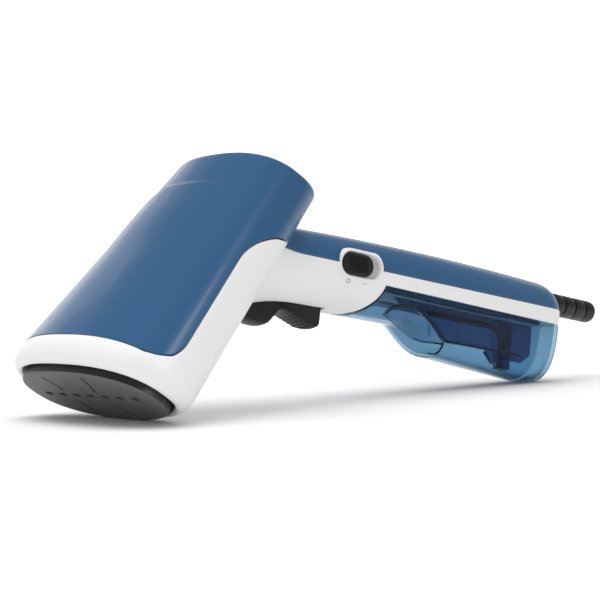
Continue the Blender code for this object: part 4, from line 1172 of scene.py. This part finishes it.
# the CAD's own pieces that stay as they are, by look
CARRIED = {
    "rubber": ("power_cord", "plate_seal"),
    "silicone": ("chamber_gasket", "steam_feed_hose", "spout_seal"),
    "aluminium": ("steam_chamber", "chamber_lid"),
    "steel": ("chamber_screw_1", "chamber_screw_2", "chamber_screw_3", "chamber_screw_4",
              "heating_element", "thermostat", "head_screw_left", "head_screw_right", "handle_screw_1",
              "handle_screw_2", "trigger_pin", "trigger_spring", "pump_piston", "pump_spring"),
    "brass": ("water_nozzle", "thermal_fuse", "pump_coil"),
    "mica": ("heat_shield",),
    "black": ("switch_carrier", "power_switch", "microswitch", "board_relay", "cord_clamp"),
    "milky": ("microswitch_button", "pump_body", "pump_cap", "pump_inlet_hose", "spout_socket",
              "terminal_block", "tank_spout", "suction_tube", "suction_filter"),
    "board": ("control_board",),
    "red": ("live_wire", "heater_wire"),
    "wire_blue": ("neutral_wire",),
    "tank_deep": ("tank_lid",),
}


def place(piece, look, body, node=None):
    """Gives a piece its look and its body, and takes the place of a CAD node if one is named."""
    dress(piece, look)
    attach(piece, body)
    if node:
        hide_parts(node)


def place_all(pieces, look, body):
    for piece in pieces:
        place(piece, look, body)


def build():
    for look, nodes in CARRIED.items():
        for node in nodes:
            dress(frame["nodes"][node], look)
    place(make_top_cover(), "blue", "steamer", "head_top_cover")
    place(make_lower_body(), "white", "steamer", "head_lower_body")
    place(make_handle_back(), "blue", "steamer", "handle_back_cover")
    place(make_handle_front(), "white", "steamer", "handle_front_shell")
    bezel, floor = make_switch_bezel()
    place(bezel, "white", "steamer")
    # the switch floor gets the grey of painted recess shade
    place(floor, "pale", "steamer")
    knob, ribs = make_knob()
    place(knob, "black", "power_slider", "switch_knob")
    place_all(ribs, "black", "power_slider")
    place_all(make_marks(), "mark", "steamer")
    place(make_rim_outline(), "white", "steamer")
    face, skirt = make_plate()
    place(face, "plate", "steamer", "steam_plate")
    place(skirt, "plate_edge", "steamer")
    trigger, ribs = make_trigger()
    place(trigger, "black", "trigger_lever", "trigger")
    place_all(ribs, "black", "trigger_lever")
    place(make_sleeve(), "rubber", "steamer", "strain_relief")
    tank, flap = make_tank()
    place(tank, "tank", "water_tank", "tank_body")
    place(flap, "tank", "filler_flap", "filler_flap")
    wall, pane, ribs, posts = make_tank_inside()
    place(wall, "tank_dark", "water_tank")
    place(pane, "tank_mid", "water_tank")
    place_all(ribs, "tank_line", "water_tank")
    place_all(posts, "tank_dark", "water_tank")


# ---- stage, light and camera ----
def backdrop_paper():
    """White paper, lit from behind further away from the steamer, as a studio's backdrop is."""
    paper = moulded("pale_paper", (0.93, 0.93, 0.93), 0.9, 300.0, change=0.005, strength=0.0)
    tree = paper.node_tree
    length = tree.nodes.new("ShaderNodeVectorMath")
    length.operation = "LENGTH"
    tree.links.new(add(tree, "TexCoord").outputs["Object"], length.inputs[0])
    glow = ramp(tree, length.outputs["Value"], 0.0, 0.75, 0.25, 1.1)
    seen = add(tree, "LightPath").outputs["Is Camera Ray"]
    fill(tree, tree.nodes["Principled BSDF"], {
        "Emission Color": (1.0, 1.0, 1.0, 1.0),
        "Emission Strength": calculated(tree, "MULTIPLY", glow, seen),
    })
    return paper


TO_CAMERA = Vector((math.cos(VIEW_AZIMUTH), math.sin(VIEW_AZIMUTH), 0.0))
ACROSS = Vector((-math.sin(VIEW_AZIMUTH), math.cos(VIEW_AZIMUTH), 0.0))


def make_stage():
    """A seamless pale floor that curves up into a wall behind the steamer."""
    rows = []
    start = 1.2
    bend = 0.8
    profile = [(-3.0, 0.0), (-1.0, 0.0), (0.6, 0.0), (start, 0.0)]
    for angle in spaced(0.1, math.pi / 2, 12):
        profile.append((start + bend * math.sin(angle), bend - bend * math.cos(angle)))
    profile.append((start + bend, 1.2))
    away = -TO_CAMERA
    side = ACROSS
    shape = bmesh.new()
    for offset in (-4.0, -1.5, 1.5, 4.0):
        rows.append([shape.verts.new(away * along + side * offset + Vector((0, 0, height)))
                     for along, height in profile])
    for before, after in zip(rows, rows[1:]):
        for index in range(len(profile) - 1):
            shape.faces.new((before[index], before[index + 1], after[index + 1], after[index]))
    bmesh.ops.recalc_face_normals(shape, faces=shape.faces)
    mesh = bpy.data.meshes.new("seamless_floor")
    shape.to_mesh(mesh)
    shape.free()
    mesh.shade_smooth()
    stage = linked("seamless_floor", mesh)
    mesh.materials.append(backdrop_paper())


def area_light(name, place_at, target, size, power, highlight=False):
    """A softbox that either lights the scene or is only seen in reflections."""
    light = bpy.data.lights.new(name, "AREA")
    light.shape = "RECTANGLE"
    light.size, light.size_y = size
    light.energy = power
    lamp = linked(name, light)
    lamp.location = place_at
    aim = Vector(target) - Vector(place_at)
    lamp.rotation_euler = aim.to_track_quat("-Z", "Y").to_euler()
    lamp.visible_glossy = highlight
    lamp.visible_diffuse = not highlight


def make_light():
    """A white room, darker in reflections so that the softboxes show as highlights."""
    world = bpy.data.worlds.new("studio")
    bpy.context.scene.world = world
    world.use_nodes = True
    tree = world.node_tree
    path = add(tree, "LightPath").outputs
    level = ramp(tree, path["Is Glossy Ray"], 0.72, 0.24, 0.0, 1.0)
    fill(tree, tree.nodes["Background"], {
        "Color": (1.0, 1.0, 1.0, 1.0),
        "Strength": calculated(tree, "MAXIMUM", level, path["Is Camera Ray"]),
    })
    area_light("top_softbox", (-0.1, -0.3, 1.3), (0, 0, 0), (1.4, 1.0), 11.3)
    area_light("far_left_softbox", (-1.25, 0.15, 0.50), (0, -0.05, 0.05), (0.6, 0.9), 1.0, True)
    area_light("near_side_softbox", (1.12, -0.05, 0.40), (0, -0.1, 0.06), (0.6, 1.0), 6.0, True)
    bpy.context.scene.view_settings.view_transform = "Standard"


def make_camera():
    camera = bpy.data.cameras.new("camera")
    camera.lens = 78.0
    camera.sensor_width = 36.0
    camera.clip_start = 0.01
    holder = linked("camera", camera)
    right = ACROSS * math.cos(VIEW_ROLL) + Vector((0, 0, math.sin(VIEW_ROLL)))
    axes = Matrix((right, TO_CAMERA.cross(right), TO_CAMERA)).transposed().to_4x4()
    place_at = Vector((448.43, PLATE_CENTRE[1] - 303.48, 48.55)) * MM
    holder.matrix_world = Matrix.Translation(place_at) @ axes
    bpy.context.scene.camera = holder


LOOKS = make_materials()
build()
make_stage()
make_light()
make_camera()
